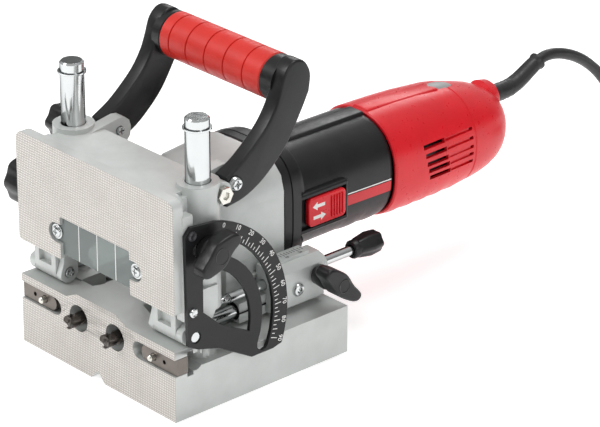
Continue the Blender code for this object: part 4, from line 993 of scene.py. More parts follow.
@dataclass
class MainsLead:
    """The cord from the motor's end, with its strain relief, coil, tie and plug."""

    diameter: float = 7.0
    length: float = 2450.0
    boot: tuple[Point, ...] = ((0, 304.0, 87.0), (0, 311, 86.8), (0, 318, 86.8), (0, 324.5, 87.3),
                               (0, 330, 88.8),
                   (0, 335.2, 91.0), (0, 340, 93.6), (0, 345, 96.2), (0, 349.6, 98.2))
    route: tuple[Point, ...] = (
        (0, 350.0, 98.3), (0, 355, 99.4), (0, 361, 99.3), (0, 369, 97.6), (0, 378.5, 94.0),
        (0, 387.4, 89.2), (0, 396.5, 82.6), (1, 405.5, 73.6), (3, 416, 59.0), (7, 427, 42.0),
        (13, 438, 25.5), (21, 448, 13.0), (32, 458, 6.0), (45, 469, 3.9), (57.5, 477.2, 3.9),
        (70, 483.6, 3.9), (82, 487.0, 3.9),
    )
    coil_middle: Pair = (103.0, 536.0)
    rest: float = 3.9
    layer: float = 7.08
    outer: float = 49.0
    entry: float = -100.0
    plug_place: Point = (141.0, 564.0, 32.1)
    plug_rear: float = 530.0
    step: float = 15.0
    climb: float = 75.0
    strap_gap: float = 4.1
    strap_half: float = 4.5

    def coil(self) -> list[Point]:
        """The coil's centreline: in, up, out, up, in again and over to the plug.

        Returns:
            Its points.
        """
        cx, cy = self.coil_middle
        points: list[Point] = []
        angle, radius, height = self.entry, self.outer, self.rest

        def put() -> None:
            """Add a point at the present angle, radius and height."""
            a = math.radians(angle)
            points.append((cx + radius * math.cos(a), cy + radius * math.sin(a), height))

        put()
        for course, target in enumerate((self.outer - 2 * self.layer, self.outer)):
            count = int(2.0 * 360 / self.step)
            start = radius
            for k in range(1, count + 1):
                angle += self.step
                radius = start + (target - start) * k / count
                put()
            for k in range(1, int(360 / self.step) + 1):
                angle += self.step
                rise = min(1.0, k * self.step / self.climb)
                height = self.rest + self.layer * (course + rise * rise * (3 - 2 * rise))
                put()
        last = 235.0
        while last < angle + 340.0:
            last += 360.0
        count, start, begin = int((last - angle) / self.step), radius, angle
        for k in range(1, count + 1):
            angle = begin + (last - begin) * k / count
            radius = start + (self.outer - self.layer - start) * k / count
            put()
        base, start, begin = height, radius, angle
        reach = Vector((self.plug_place[0] - cx, self.plug_rear - cy))
        finish = math.degrees(math.atan2(reach.y, reach.x))
        while finish < begin:
            finish += 360.0
        count = int((finish - begin) / self.step)
        for k in range(1, count + 1):
            t = k / count
            ease = t * t * (3 - 2 * t)
            angle = begin + (finish - begin) * t
            radius = start + (reach.length - start) * ease
            height = base + (self.plug_place[2] - base) * ease
            put()
        return points

    def make_cord(self, with_pieces: list[bpy.types.Object]) -> None:
        """Make the cord as one smooth spline.

        Args:
            with_pieces: not used.
        """
        path = [*self.route, *self.coil()]
        path.append((self.plug_place[0], self.plug_rear + 4.0, self.plug_place[2]))
        curve = bpy.data.curves.new("cord_line", "CURVE")
        curve.dimensions = "3D"
        curve.bevel_depth, curve.bevel_resolution = self.diameter / 2 * MM, 4
        curve.use_fill_caps = True
        coarse = smooth_path(path, 2)
        spline = curve.splines.new("POLY")
        spline.points.add(len(coarse) - 1)
        for knot, place in zip(spline.points, coarse):
            knot.co = (*(TO_ROW @ Vector(place)), 1.0)
        spline.use_smooth = True
        curve.materials.append(RUBBER.material())
        cord = linked("mains_cord", curve)
        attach(cord, "plunge_unit")
        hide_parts("cord", "cord_coil")

    def make_boot(self) -> None:
        """The strain relief: collar, ribbed root, sleeve and end bead."""
        path = smooth_path(self.boot, 5)
        radii = []
        for i, _ in enumerate(path):
            t = i / (len(path) - 1)
            radius = 5.9 - 1.1 * t
            if t < 0.10:
                radius = 7.2
            elif t < 0.45:
                radius += 0.12 * math.cos(2 * math.pi * i / 3.0)
            elif t > 0.94:
                radius += 0.7
            radii.append(radius)
        bm = sweep(path, radii, 32)
        piece("strain_relief", bm, RUBBER, "plunge_unit", ("cord_boot",))

    def make_plug(self) -> bpy.types.Object:
        """Make a moulded two-pin plug lying on the coil.

        Returns:
            The plug.
        """
        x, y, z = self.plug_place
        rear = self.plug_rear
        profile = [(rear, 0.0), (rear, 4.6), (rear + 1, 5.2), (rear + 8, 5.4), (rear + 9, 6.2),
                   (rear + 10, 5.4), (rear + 14, 5.8), (rear + 15, 6.6), (rear + 16, 5.9),
                   (rear + 20, 6.8), (rear + 22.5, 9.4), (rear + 24, 10.1), (y - 1.2, 10.1),
                   (y, 9.2), (y, 0.0)]
        bm = turned(profile, Axis.ALONG, (x, 0, z), 40)
        for side, _ in SIDES:
            pin = [(y - 1, 0.0), (y - 1, 2.4), (y + 9.5, 2.4), (y + 9.5, 2.1), (y + 18.2, 2.1),
                   (y + 19, 1.4), (y + 19, 0.0)]
            add(bm, turned(pin, Axis.ALONG, (x + side * 6.2, 0, z), 24))
        return piece("mains_plug", bm, RUBBER, "plunge_unit", ("plug",))

    def make_tie(self) -> bpy.types.Object:
        """Make a strap round the coil's bundle, on its far side.

        Returns:
            The strap.
        """
        cx, cy = self.coil_middle
        inner = cx - self.outer + 2 * self.layer + self.strap_gap
        outer = cx - self.outer - self.strap_gap
        low, high = 0.06, self.rest + 2 * self.layer + self.strap_gap
        bm = slab([(outer, low), (inner, low), (inner, high), (outer, high)], Axis.ALONG,
                  cy - self.strap_half, cy + self.strap_half)
        along = [e for e in bm.edges if abs((e.verts[0].co - e.verts[1].co).y) > self.strap_half]
        round_off(bm, along, 2.4, 4)
        ends = [f for f in bm.faces if abs(f.normal.y) > 0.9]
        bmesh.ops.delete(bm, geom=ends, context="FACES_ONLY")
        bmesh.ops.solidify(bm, geom=bm.faces[:], thickness=0.5)
        bmesh.ops.recalc_face_normals(bm, faces=bm.faces)
        return piece("cord_tie", bm, RUBBER, "plunge_unit")

    def build(self) -> None:
        """Make the lead."""
        self.make_boot()
        self.make_cord([self.make_plug(), self.make_tie()])


# ------------------------------------------------------------------ motor


@dataclass
class Motor:
    """The motor's two shells, their vents and trim, and the slide switch."""

    height: float = 75.745
    body: str = "plunge_unit"
    wall: float = 2.4
    flange: tuple[Hoop, ...] = (
        (107.4, 35.6, 114.4, 43.0, 3.3), (108.2, 36.6, 115.5, 42.0, 3.4),
        (113.4, 36.8, 115.7, 41.8, 3.4), (113.7, 36.2, 115.1, 42.4, 3.4),
        (114.3, 36.2, 115.1, 42.4, 3.4), (114.6, 36.8, 115.7, 41.8, 3.4),
        (121.0, 36.5, 115.2, 42.0, 3.3), (122.0, 36.4, 115.1, 42.1, 3.3),
        (123.6, 36.2, 114.8, 42.3, 3.2), (124.4, 35.2, 113.6, 42.8, 3.1),
        (125.4, 32.8, 110.2, 43.6, 2.7), (127.0, 31.7, 108.6, 44.1, 2.45),
        (130.0, 31.4, 108.4, 44.2, 2.4), (160.0, 31.2, 108.1, 44.3, 2.35),
    )
    flange_end: float = 160.0
    barrel_taper: float = 0.005
    ripple: float = 1.1
    shell_ripple: Pair = (164.0, 16.0)
    cover_ripple: tuple[float, float, float] = (201.0, 261.0, 12.0)
    cover: tuple[Hoop, ...] = (
        (198.4, 32.3, 32.5, 32.3, 2.35), (199.3, 33.1, 33.3, 33.1, 2.35),
        (222, 33.2, 33.0, 33.4, 2.3), (240, 32.7, 32.2, 33.3, 2.3), (264.4, 31.4, 30.2, 32.8, 2.28),
    )
    cover_pitch: float = 2.6
    cover_lift: float = 0.8
    cap: tuple[Hoop, ...] = (
        (264.9, 31.3, 30.1, 32.1), (265.4, 30.6, 29.4, 31.4), (266.2, 30.6, 29.3, 31.4),
        (266.8, 31.1, 29.7, 31.8), (272, 30.6, 28.5, 31.5), (279, 29.5, 26.7, 30.6),
        (286, 28.2, 24.8, 29.1), (292, 26.5, 22.9, 27.0), (297, 24.2, 20.7, 24.2),
        (301, 21.3, 18.2, 21.0), (304, 17.6, 15.4, 17.2), (305.6, 14.0, 13.0, 13.8),
        (306.3, 10.0, 9.0, 9.8),
    )
    cap_power: float = 2.25
    hollow: tuple[Hoop, ...] = (
        (195.0, 31.4, 107.0, 44.6, 2.3), (262.0, 29.8, 104.2, 45.2, 2.3),
        (290.0, 23.0, 94.0, 53.0, 2.2), (300.0, 12.0, 84.0, 66.0, 2.1),
    )
    vents: tuple[Pair, ...] = ((87.3, 221.5), (81.8, 222.6), (76.4, 223.8), (71.8, 225.2),
                               (67.0, 226.6))
    vent_length: float = 17.5
    vent_half: float = 1.45
    groove_half: float = 1.0
    groove_floor: float = 31.9
    groove_end: float = 262.5
    groove_slope: float = 1.3
    hole_radius: float = 1.15
    outside: float = 45.0
    flat: float = 31.2
    flat_from: float = 121.5
    flat_height: Pair = (61.5, 88.5)
    panel: Pair = (161.5, 34.5)
    slide_ridges: int = 5

    def side_of(self, y: float, z: float) -> float:
        """How far out the black shell's side is at a place."""
        half, middle, reach, power = 31.15, 76.2, 31.9, 2.35
        return half * max(0.0, 1 - abs((z - middle) / reach) ** power) ** (1 / power)

    def make_housing(self) -> None:
        """Make the black shell: a squared flange that steps down to a round barrel."""
        rows = list(self.flange)
        start, pitch = self.shell_ripple
        _, half, *shape = self.flange[-1]
        for k in range(1, 19):
            y = self.flange_end + k * 2.0
            wave = self.ripple * abs(math.sin(math.pi * (y - start) / pitch)) if y > start else 0.0
            rows.append((y, half - self.barrel_taper * (y - self.flange_end), *shape, wave))
        rows.append((197.9, 30.3, 107.2, 45.2, 2.35))
        bm = skin(rows, caps=False)
        for vert in bm.verts:
            if vert.co.y > self.flat_from and self.flat_height[0] < vert.co.z < self.flat_height[1]:
                vert.co.x = min(vert.co.x, self.flat)
        bmesh.ops.solidify(bm, geom=bm.faces[:], thickness=self.wall)
        bmesh.ops.recalc_face_normals(bm, faces=bm.faces)
        add(bm, turned([(107.5, 12.0), (107.5, 33.5), (109.5, 33.5), (109.5, 12.0), (107.5, 12.0)],
                       Axis.ALONG, (0, 0, self.height), 48))
        surround = block((27.0, 34.3), (121.0, 159.4), (62.5, 87.5))
        pocket = block((31.6, 40.0), (122.0, 157.4), (65.2, 84.8))
        add(bm, carve(soften(surround, 1.4, 3), [pocket]))
        piece("motor_shell", bm, BLACK, self.body, ("motor_housing",))
        ridge = slab([(-7.0, 105.5), (7.0, 105.5), (6.0, 109.6), (-6.0, 109.6)], Axis.ALONG,
                     126.0, 197.5)
        piece("shell_ridge", soften(ridge, 1.2, 3), BLACK, self.body)

    def cover_rows(self) -> list[tuple[float, ...]]:
        """The hoops of the red cover, with finger waves under it.

        Returns:
            A row for each hoop.
        """
        z = self.height
        first, last, pitch = self.cover_ripple
        rows = []
        for (y0, *a), (y1, *b) in zip(self.cover, self.cover[1:]):
            count = max(1, int((y1 - y0) / self.cover_pitch))
            for k in range(count):
                t = k / count
                half, top, bottom, power = [p + (q - p) * t for p, q in zip(a, b)]
                y = y0 + (y1 - y0) * t
                wave = self.ripple * abs(math.sin(math.pi * (y - first) / pitch))
                rows.append((y, half, z + top, z - bottom + self.cover_lift, power,
                             wave if first < y < last else 0.0))
        rows += [(y, half, z + top, z - bottom, self.cap_power) for y, half, top,
                 bottom in self.cap]
        return rows

    def make_cover(self) -> None:
        """The red shell with open vents that run on as grooves."""
        bm = skin(self.cover_rows())
        bm = carve(bm, [skin(self.hollow)])
        tools, grooves, holes = [], [], []
        for level, start in self.vents:
            end = start + self.vent_length
            inner = self.groove_floor - 0.045 * abs(level - 76) ** 1.55
            for side, _ in SIDES:
                tools.append(block(span(side, 24.0, self.outside), (start, end),
                                   (level - self.vent_half, level + self.vent_half)))
                groove = block(span(side, inner, self.outside), (end + 0.5, self.groove_end),
                               (level - self.groove_half, level + self.groove_half))
                deep = [v for v in groove.verts if v.co.y > 250 and abs(v.co.x) < 40]
                bmesh.ops.translate(groove, vec=(-side * self.groove_slope, 0, 0), verts=deep)
                grooves.append(groove)
                floor, open_end = side * 26.5, side * self.outside
                holes.append(turned([(floor, 0.0), (floor, self.hole_radius),
                                     (open_end, self.hole_radius), (open_end, 0.0)],
                                    Axis.ACROSS, (0, self.groove_end, level), 14))
        for cutters in (tools, grooves, holes):
            bm = carve(bm, cutters)
        bmesh.ops.remove_doubles(bm, verts=bm.verts, dist=0.02)
        bmesh.ops.triangulate(bm, faces=[f for f in bm.faces if len(f.verts) > 4])
        piece("rear_shell", bm, RED, self.body, ("rear_cover",))
        # A black sheet inside the cover behind the vents: painted shade, so that the vents look
        # dark within.
        dark_sheet = skin([(214.0, 27.6, 103.0, 48.5, 2.3), (250.0, 26.4, 101.5, 49.5, 2.3)], caps=False)
        piece("vent_shade_sheet", dark_sheet, BLACK, self.body)
        collar = turned([(296.0, 9.0), (300.0, 11.6), (305.5, 10.6), (307.2, 9.4), (307.4, 7.0),
                         (296.0, 7.0), (296.0, 9.0)], Axis.ALONG, (0, 0, 87.0), 40)
        piece("cord_collar", collar, RED, self.body)
        badge = bmesh.new()
        bmesh.ops.create_uvsphere(badge, u_segments=40, v_segments=16, radius=1.0)
        bmesh.ops.scale(badge, vec=(6.0, 11.0, 2.4), verts=badge.verts)
        bmesh.ops.rotate(badge, cent=(0, 0, 0), matrix=Matrix.Rotation(math.radians(-9), 3, "X"),
                         verts=badge.verts)
        bmesh.ops.translate(badge, vec=(0, 263.0, 104.7), verts=badge.verts)
        piece("cover_button", badge, PALE, self.body)
        ridge = slab([(-7.5, 104.0), (7.5, 104.0), (6.4, 110.0), (-6.4, 110.0)], Axis.ALONG, 199.4,
                     258.0)
        bmesh.ops.translate(ridge, vec=(0, 0, -2.6), verts=[v for v in ridge.verts if v.co.y > 250])
        piece("cover_ridge", soften(ridge, 1.4, 3), RED, self.body)

    def make_label(self) -> None:
        """A plain panel on the side: a pale line over a red band, with no lettering."""
        start, length = self.panel
        for name, finish, low, high, lift, slot in (("panel_band", RED_INK, 68.4, 75.0, 0.12,
                                                     Slot.RED),
                                                    ("panel_line", INK, 75.6, 76.3, 0.14,
                                                     Slot.CLEAR)):
            for side, label in reversed(SIDES):
                bm = bmesh.new()
                bmesh.ops.create_grid(bm, x_segments=12, y_segments=6, size=0.5)
                for vert in bm.verts:
                    along = (vert.co.x + 0.5) * length
                    z = low + (vert.co.y + 0.5) * (high - low) - 0.02 * along
                    vert.co = (side * (self.side_of(start + along, z) + lift), start + along, z)
                bmesh.ops.recalc_face_normals(bm, faces=bm.faces)
                if bm.faces[:][0].normal.x * side < 0:
                    bmesh.ops.reverse_faces(bm, faces=bm.faces)
                piece(f"{name}_{label}", bm, finish, self.body)

    def make_switch(self) -> None:
        """The red slide with five ridges and two arrows."""
        bm = slab([(127.6, 66.2), (156.4, 66.2), (156.4, 83.8), (127.6, 83.8)], Axis.ACROSS, 31.8,
                  35.4)
        upright = [e for e in bm.edges if abs(e.verts[0].co.x - e.verts[1].co.x) > 1.0]
        round_off(bm, upright, 3.2, 5)
        soften(bm, 0.9, 3)
        for i in range(self.slide_ridges):
            y = 153.6 - i * 2.1
            add(bm, soften(block((34.8, 36.3), (y - 0.55, y + 0.55), (68.4, 81.6)), 0.45, 3))
        piece("switch_slide", bm, RED, "switch", ("switch_slider",))
        arrows = bmesh.new()
        outline = [(5.0, 0.0), (1.4, 2.5), (1.4, 1.0), (-4.4, 1.0), (-4.4, -1.0), (1.4, -1.0),
                   (1.4, -2.5)]
        for height, way in ((78.4, -1), (71.6, 1)):
            add(arrows, slab([(135.4 + way * u, height + v) for u, v in outline], Axis.ACROSS,
                             35.35, 35.55))
        piece("switch_arrows", arrows, INK, "switch")

    def build(self) -> None:
        """Make the motor's outside."""
        self.make_housing()
        self.make_cover()
        self.make_label()
        self.make_switch()


# ------------------------------------------------------------------ gearbox and depth stop


@dataclass
class Gearbox:
    """The grey gearbox with its cowl, and the depth stop on its side."""

    body: str = "plunge_unit"
    rod: Pair = (45.0, 48.6)
    scale: tuple[float, int, float] = (89.5, 13, 2.0)

    def make_cowl(self) -> None:
        """The smooth upper shell of the casing."""
        recast("gearbox_casing", CAST, self.body, 0.4)
        rows = [(64.0, 26.0, 102.0, 47.0, 3.0), (64.1, 29.4, 105.2, 44.0, 3.1), (65.2, 31.4, 107.4,
                                                                                 42.6, 3.2),
                (68.0, 33.4, 109.8, 41.2, 3.2), (72.0, 35.3, 112.0, 40.2, 3.3), (82.0, 36.4, 113.6,
                                                                                 39.4, 3.35),
                (95.0, 37.1, 114.8, 38.8, 3.4), (104.4, 37.5, 115.2, 38.6, 3.4),
                (104.8, 37.0, 114.7, 39.0, 3.4),
                (107.1, 37.0, 114.7, 39.0, 3.4)]
        piece("casing_cowl", skin(rows), CAST, self.body)
        for side, label in SIDES:
            rib = slab([(77.0, 50.0), (101.0, 50.0), (101.0, 53.0), (77.0, 53.0)], Axis.ACROSS,
                       *span(side, 34.0, 38.3))
            piece(f"casing_rib_{label}", soften(rib, 0.8, 3), CAST, self.body)

    def make_depth_stop(self) -> None:
        """The block with its scale and screw, and the chromed rod with its knob."""
        recast("depth_stop_block", CAST, self.body, 0.5)
        marks = bmesh.new()
        start, count, step = self.scale
        for i in range(count):
            y = start + i * step
            reach = 2.3 if i % 5 == 0 else 1.4
            add(marks, block((44.0 - reach, 44.0 + reach), (y - 0.12, y + 0.12), (61.0, 61.75)))
            if i % 5 == 0:
                turn = Matrix.Translation((47.9, y, 61.66)) @ Matrix.Rotation(math.pi / 2, 4, "Z")
                add(marks, lettering(str(2 * i), 2.6, turn))
        piece("depth_scale", marks, DARK_INK, self.body)
        screw = turned([(53.4, 0.0), (53.4, 3.9), (55.0, 3.9), (55.9, 3.2), (56.1, 1.9),
                        (54.8, 1.7),
                        (54.8, 0.0)], Axis.ACROSS, (0, 102.0, 43.0), 36)
        piece("block_screw", screw, CHROME, self.body)
        recast("depth_rod", CHROME, "depth_stop")
        x, z = self.rod
        collar = turned([(119.0, 3.4), (119.0, 6.6), (121.5, 7.2), (125.6, 7.2), (127.0, 6.2),
                         (127.0, 3.4),
                         (119.0, 3.4)], Axis.ALONG, (x, 0, z), 40)
        piece("rod_collar", collar, CAST, self.body)

        def swell(vert: bmesh.types.BMVert, factor: float) -> None:
            """Move a vertex out from the rod's axis by a factor."""
            vert.co.x, vert.co.z = x + (vert.co.x - x) * factor, z + (vert.co.z - z) * factor

        bm = slab([(x + u, z + v) for u, v in lobed(7.4, 0.9, 6, 48)], Axis.ALONG, 154.5, 172.0)
        for vert in bm.verts:
            swell(vert, 0.80 if vert.co.y < 160 else 0.92)
        middle = bmesh.ops.bisect_plane(bm, geom=bm.verts[:] + bm.edges[:] + bm.faces[:],
                                        plane_co=(0, 164.0, 0), plane_no=(0, 1, 0))["geom_cut"]
        for vert in (g for g in middle if isinstance(g, bmesh.types.BMVert)):
            swell(vert, 1.15)
        soften(bm, 1.2, 3, 60.0)
        add(bm, turned([(151.2, 3.3), (151.2, 4.9), (152.0, 5.5), (155.4, 5.5), (155.4, 3.3),
                        (151.2, 3.3)],
                       Axis.ALONG, (x, 0, z), 32))
        piece("depth_knob_body", bm, BLACK, "depth_stop", ("depth_knob",))

    def build(self) -> None:
        """Make the gearbox and the depth stop."""
        self.make_cowl()
        self.make_depth_stop()


def lobed(radius: float, depth: float, lobes: int, steps: int) -> list[Pair]:
    """A lobed outline about the origin.

    Args:
        radius: how far the lobes reach.
        depth: how deep the hollows between them are.
        lobes: the count of lobes.
        steps: the count of points.

    Returns:
        The outline.
    """
    outline = []
    for i in range(steps):
        a = 2 * math.pi * i / steps
        r = radius - depth * (1 - math.cos(lobes * a)) / 2
        outline.append((r * math.cos(a), r * math.sin(a)))
    return outline


# ------------------------------------------------------------------ knobs


@dataclass
class WingKnob:
    """A moulded knob with two swept wings on a round hub."""

    name: str
    node: str
    body: str
    centre: Point
    hub: tuple[float, float, float]
    wings: Pair
    size: Pair
    turn: float
    stem: tuple[float, float, float]
    sweep: float = 1.6

    def build(self) -> None:
        """Hub, stem and wings that sweep outwards from it."""
        _, y, z = self.centre
        start, end, radius = self.hub
        low, high = self.wings
        reach, width = self.size
        outline = []
        for side in (1, -1):
            for i in range(30):
                u = side * (i / 15.0 - 1.0)
                swell = width + (radius * 0.95 - width) * math.exp(-((u / 0.42) ** 2))
                edge = swell * (1 - abs(u) ** 5) ** 0.5
                outline.append((u * reach, self.sweep * math.sin(math.pi * u / 1.3) + side * edge))
        outline.reverse()
        c, s = math.cos(math.radians(self.turn)), math.sin(math.radians(self.turn))
        placed = [(y + u * c - v * s, z + u * s + v * c) for u, v in outline]
        bm = slab(placed, Axis.ACROSS, low, high)
        for vert in bm.verts:
            off = math.hypot(vert.co.y - y, vert.co.z - z) / reach
            vert.co.x += (3.0 if vert.co.x < (low + high) / 2 else 0.9) * off * off
        soften(bm, 1.7, 4, 50.0)
        add(bm, turned([(start, 0.0), (start, radius * 0.8), (start + 0.8, radius * 0.9),
                        (end - 2.0, radius), (end, radius * 0.8), (end, 0.0)], Axis.ACROSS,
                       self.centre, 40))
        add(bm, turned([(high - 2.0, 0.0), (high - 2.0, radius * 0.74), (high + 0.1, radius * 0.70),
                        (high + 0.5, radius * 0.60), (high + 0.2, radius * 0.50),
                        (high - 0.1, 0.0)],
                       Axis.ACROSS, self.centre, 40))
        stem_start, stem_end, stem_radius = self.stem
        add(bm, turned([(stem_start, 0.0), (stem_start, stem_radius), (stem_end, stem_radius),
                        (stem_end, 0.0)], Axis.ACROSS, self.centre, 24))
        piece(self.name, bm, BLACK, self.body, (self.node,))


@dataclass
class StarKnob:
    """A lobed knob with rounded lobes and a dished end, turned about an axis across the tool."""

    name: str
    node: str
    body: str
    centre: Point
    start: float
    end: float
    radius: float
    lobes: int
    depth: float
    stem: Pair
    pinion: Pair | None = None
    teeth: int = 10

    def build(self) -> None:
        """Make the knob, with its hub and its stem."""
        _, y, z = self.centre
        outline = [(y + u, z + v) for u, v in lobed(self.radius, self.depth, self.lobes,
                                                    self.lobes * 12)]
        bm = slab(outline, Axis.ACROSS, self.start, self.end)
        far = min(bm.faces, key=lambda f: f.calc_center_median().x)
        bmesh.ops.inset_region(bm, faces=[far], thickness=self.radius * 0.3, depth=0.0,
                               use_even_offset=True)
        bmesh.ops.translate(bm, vec=(1.2, 0, 0), verts=far.verts)
        soften(bm, 1.5, 4, 55.0)
        stem_end, stem_radius = self.stem
        add(bm, turned([(self.end - 1, 0.0), (self.end - 1, stem_radius + 2.5),
                        (self.end + 0.9, stem_radius + 2.2), (self.end + 0.9, stem_radius),
                        (stem_end, stem_radius), (stem_end, 0.0)], Axis.ACROSS, self.centre, 32))
        if self.pinion:
            teeth = []
            for i in range(self.teeth):
                for part, r in ((-0.30, 3.85), (-0.14, 5.6), (0.14, 5.6), (0.30, 3.85)):
                    a = 2 * math.pi * (i + part) / self.teeth
                    teeth.append((y + r * math.cos(a), z + r * math.sin(a)))
            add(bm, slab(teeth, Axis.ACROSS, *self.pinion))
        piece(self.name, bm, BLACK, self.body, (self.node,))


def build_knobs() -> None:
    """Make the four knobs that turn about axes across the tool."""
    WingKnob("angle_knob_body", "angle_knob", "angle_clamp", (0, 19.2, 101.2), (71.8, 79.0, 8.0),
             (74.2, 85.6), (15.8, 5.0), 26.0, (62.7, 73.0, 3.6)).build()
    WingKnob("depth_lock_body", "depth_lock_knob", "depth_lock", (0, 116.5, 48.6),
             (55.0, 66.0, 6.6),
             (64.0, 77.0), (17.4, 4.2), -38.0, (48.4, 57.0, 2.5), -1.6).build()
    StarKnob("height_knob_body", "height_knob", "height_adjuster", (0, 18.6, 92.0), -86.0, -71.0,
             15.6, 8,
             1.2, (-57.5, 3.0), (-58.5, -49.5)).build()
    StarKnob("height_lock_body", "height_lock_knob", "height_lock", (0, 40.0, 123.4), -80.0, -66.2,
             11.0, 6,
             1.5, (-55.7, 2.0)).build()


# ------------------------------------------------------------------ handle


@dataclass
class Handle:
    """The bow handle: two rounded arms, a ringed grip and their screws."""

    grip_y: float = 98.5
    grip_z: float = 169.5
    grip_radius: float = 13.6
    grip_span: Pair = (-44.0, 40.5)
    arm: Pair = (48.0, 58.4)
    ear: Pair = (40.0, 123.4)
    screw: Pair = (52.0, 125.0)
    rings: tuple[float, ...] = (-35.6, -21.0, -5.3, 10.7, 26.7)

    def arm_outline(self) -> list[Pair]:
        """Draw an arm from the side.

        Returns:
            Its outline, from the foot's top.
        """
        front = smooth_path([(50.0, 131.5), (58.0, 136.0), (67.0, 143.0), (76.0, 151.5),
                             (82.5, 161.0),
                             (86.0, 169.5)], 4)
        end = smooth_path([(86.0, 169.5), (89.5, 179.0), (96.0, 184.3), (103.5, 182.5),
                           (108.0, 174.5),
                           (107.0, 164.0)], 5)
        back = smooth_path([(107.0, 164.0), (101.0, 153.0), (91.5, 138.0), (82.0, 128.0),
                            (71.0, 119.5),
                            (59.0, 114.0), (47.0, 112.0)], 4)
        y, z = self.ear
        notch = [(y + 7.8 * math.cos(math.radians(a)), z + 7.8 * math.sin(math.radians(a)))
                 for a in range(-55, 43, 12)]
        return [*front[:-1], *end[:-1], *back, (44.9, 113.2), *notch, (46.6, 129.8)]

    def make_arms(self) -> None:
        """The two arms, rounded all along."""
        for side, label in SIDES:
            bm = slab(self.arm_outline(), Axis.ACROSS, *span(side, *self.arm))
            soften(bm, 2.6, 4, 60.0)
            hole = turned([(side * 40.0, 0.0), (side * 40.0, 2.7), (side * 70.0, 2.7),
                           (side * 70.0, 0.0)],
                          Axis.ACROSS, (0, *self.screw), 24)
            bm = carve(bm, [hole])
            near = self.grip_span[0] - 0.1 if side < 0 else self.grip_span[1] + 0.1
            far, radius = side * (self.arm[0] + 2.5), self.grip_radius
            collar = [(near, 0.0), (near, radius - 0.7), (near + side * 0.5, radius - 0.2),
                      (far, radius - 0.2), (far, 0.0)]
            add(bm, turned(collar, Axis.ACROSS, (0, self.grip_y, self.grip_z), 48))
            piece(f"bow_arm_{label}", bm, SATIN, "carriage", (f"handle_arm_{label}",))

    def make_grip(self) -> None:
        """The soft grip with fine rings sunk in it."""
        r = self.grip_radius
        low, high = self.grip_span
        profile = [(low, 0.0), (low, r - 0.8), (low + 0.8, r)]
        for x in self.rings:
            profile += [(x - 4.0, r), (x - 0.6, r - 0.05), (x - 0.35, r - 0.8), (x + 0.35, r - 0.8),
                        (x + 0.6, r - 0.05), (x + 4.0, r)]
        profile += [(high - 0.8, r), (high, r - 0.8), (high, 0.0)]
        bm = turned(profile, Axis.ACROSS, (0, self.grip_y, self.grip_z), 72)
        piece("grip_sleeve", bm, GRIP, "carriage", ("grip",), 30.0)

    def build(self) -> None:
        """Make the handle."""
        self.make_arms()
        self.make_grip()
        centre = (0, *self.screw)
        for side, label in SIDES:
            node = f"handle_screw_{label}"
            inner = min((corner[0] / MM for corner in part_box(node)), key=abs)
            recess = cross(Axis.ACROSS, centre, span(side, 60.0, 63.0), 2.5, 1.1)
            recess += cross(Axis.ACROSS, centre, tuple(sorted((inner - side, inner + side * 1.2))),
                            1.9, 0.9)
            recast(node, CHROME, "carriage", 0.25, recess)
        socket = turned([(64.0, 0.0), (64.0, 2.4), (67.0, 2.4), (67.0, 0.0)], Axis.ACROSS,
                        (0, *self.ear), 6)
        recast("ear_bolt", BRIGHT, "carriage", 0.35, [socket])


# ------------------------------------------------------------------ base, carriage and fence


@dataclass
class Base:
    """The base with its posts and rods, and the index plates in its head."""

    body: str = "base"

    def build(self) -> None:
        """Make the base, and what slides in its head."""
        recast("base_block", MILLED, self.body, 0.35)
        for _, label in SIDES:
            recast(f"post_{label}", CHROME, self.body)
            recast(f"snap_ring_{label}", CHROME, self.body)
            recast(f"guide_rod_{label}", CHROME, self.body)
            recast(f"index_plate_{label}", STEEL, f"index_{label}", 0.25)
            recast(f"index_pin_{label}", BRIGHT, f"index_pin_{label}")
        recast("return_spring", STEEL, self.body)


@dataclass
class Carriage:
    """The sliding carriage and its hinge pins."""

    body: str = "carriage"
    hinge: Pair = (12.1, 49.7)

    def build(self) -> None:
        """Make the casting and the pins."""
        recast("carriage_casting", CAST, self.body, 0.45)
        for side, label in SIDES:
            recess = cross(Axis.ACROSS, (0, *self.hinge), span(side, 36.0, 38.6), 1.9, 0.9)
            recast(f"hinge_pin_{label}", CHROME, self.body, 0.3, recess)


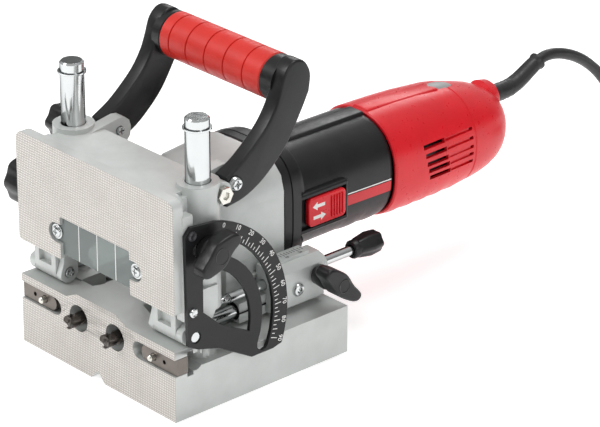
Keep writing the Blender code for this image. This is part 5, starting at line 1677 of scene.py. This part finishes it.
@dataclass
class Fence:
    """The tilting fence: knurled plate, sight window and angle plate with its scale."""

    body: str = "fence"
    hinge: Pair = (12.1, 49.7)
    zero: float = 71.3
    face: float = 71.5
    figures: float = 64.2

    def make_window(self) -> None:
        """The clear window with three sighting lines, and its screws."""
        recast("sight_window", CLEAR, self.body)
        lines = bmesh.new()
        for x in (-16.0, 0.0, 16.0):
            add(lines, block((x - 0.3, x + 0.3), (1.93, 1.99), (67.6, 90.0)))
        piece("sight_lines", lines, INK, self.body)
        for side, label in SIDES:
            recess = cross(Axis.ALONG, (side * 34.7, 0, 80.0), (-1.0, 0.9), 1.8, 0.9)
            recast(f"window_screw_{label}", CHROME, self.body, 0.2, recess)

    def make_scale(self) -> None:
        """Make ticks every 2.5 degrees and figures every ten."""
        ink = bmesh.new()
        y0, z0 = self.hinge
        for i in range(37):
            step = i * 2.5
            angle = math.radians(self.zero - step)
            length = 4.4 if step % 10 == 0 else 3.2 if step % 5 == 0 else 2.0
            tick = block((self.face - 0.02, self.face + 0.1), (57.2, 57.2 + length), (-0.2, 0.2))
            turn = Matrix.Translation((0, y0, z0)) @ Matrix.Rotation(angle, 4, "X")
            bmesh.ops.transform(tick, matrix=turn, verts=tick.verts)
            add(ink, tick)
            if step % 10 == 0:
                place = (self.face + 0.05, y0 + self.figures * math.cos(angle),
                         z0 + self.figures * math.sin(angle))
                turn = (Matrix.Translation(place) @ Matrix.Rotation(angle - math.pi / 2, 4, "X")
                        @ FACING_OUT)
                add(ink, lettering(str(int(step)), 4.1, turn, 0.1))
        piece("angle_figures", ink, INK, self.body)

    def build(self) -> None:
        """Make the fence."""
        pockets = [block(span(side, 46.6, 57.9), (-1.0, 8.6), (53.0, 61.6)) for side, _ in SIDES]
        recast("fence_plate", MILLED, self.body, 0.4, pockets)
        self.make_window()
        recast("angle_quadrant", PLATE, self.body, 0.3)
        self.make_scale()
        for i, z in enumerate((65.5, 111.0)):
            head = turned([(71.5, 0.0), (71.5, 2.9), (72.4, 2.7), (72.9, 1.9), (72.5, 1.3),
                           (72.5, 0.0)],
                          Axis.ACROSS, (0, 10.2, z), 28)
            piece(f"plate_screw_{i}", head, IRON if i else CHROME, self.body)


# ------------------------------------------------------------------ drive


DRIVE = (
    ("armature", STEEL, Slot.STEEL, ("armature_shaft",)),
    ("armature", IRON, Slot.IRON, ("armature_core",)),
    ("armature", BRASS, Slot.BRASS, ("commutator",)),
    ("armature", BLACK, Slot.BLACK, ("cooling_fan",)),
    ("idler", STEEL, Slot.STEEL, ("idler_gear",)),
    ("spindle_left", STEEL, Slot.STEEL, ("spindle_left",)),
    ("spindle_left", DRILL, Slot.STEEL, ("bit_left",)),
    ("spindle_right", STEEL, Slot.STEEL, ("spindle_right",)),
    ("spindle_right", DRILL, Slot.STEEL, ("bit_right",)),
    ("plunge_unit", CAST, Slot.CAST, ("gear_plate",)),
    ("plunge_unit", BRASS, Slot.BRASS, ("spindle_bush_left", "spindle_bush_right")),
    ("plunge_unit", BLACK, Slot.BLACK, ("guide_bush_left", "guide_bush_right")),
    ("plunge_unit", IRON, Slot.IRON, ("stator",)),
    ("plunge_unit", STEEL, Slot.STEEL, ("front_bearing", "rear_bearing")),
    ("plunge_unit", CARBON, Slot.CARBON, ("carbon_brush_left", "carbon_brush_right")),
)


def build_drive() -> None:
    """Merge and dress the gears, spindles, bits and motor's insides."""
    for body, finish, slot, nodes in DRIVE:
        for node in nodes:
            recast(node, finish, body)


def main() -> None:
    """Build the studio and then each sub-assembly."""
    Studio().build()
    MainsLead().build()
    for part in (Base(), Carriage(), Fence(), Handle(), Gearbox(), Motor()):
        part.build()
    build_knobs()
    build_drive()


if __name__ == "__main__":
    main()
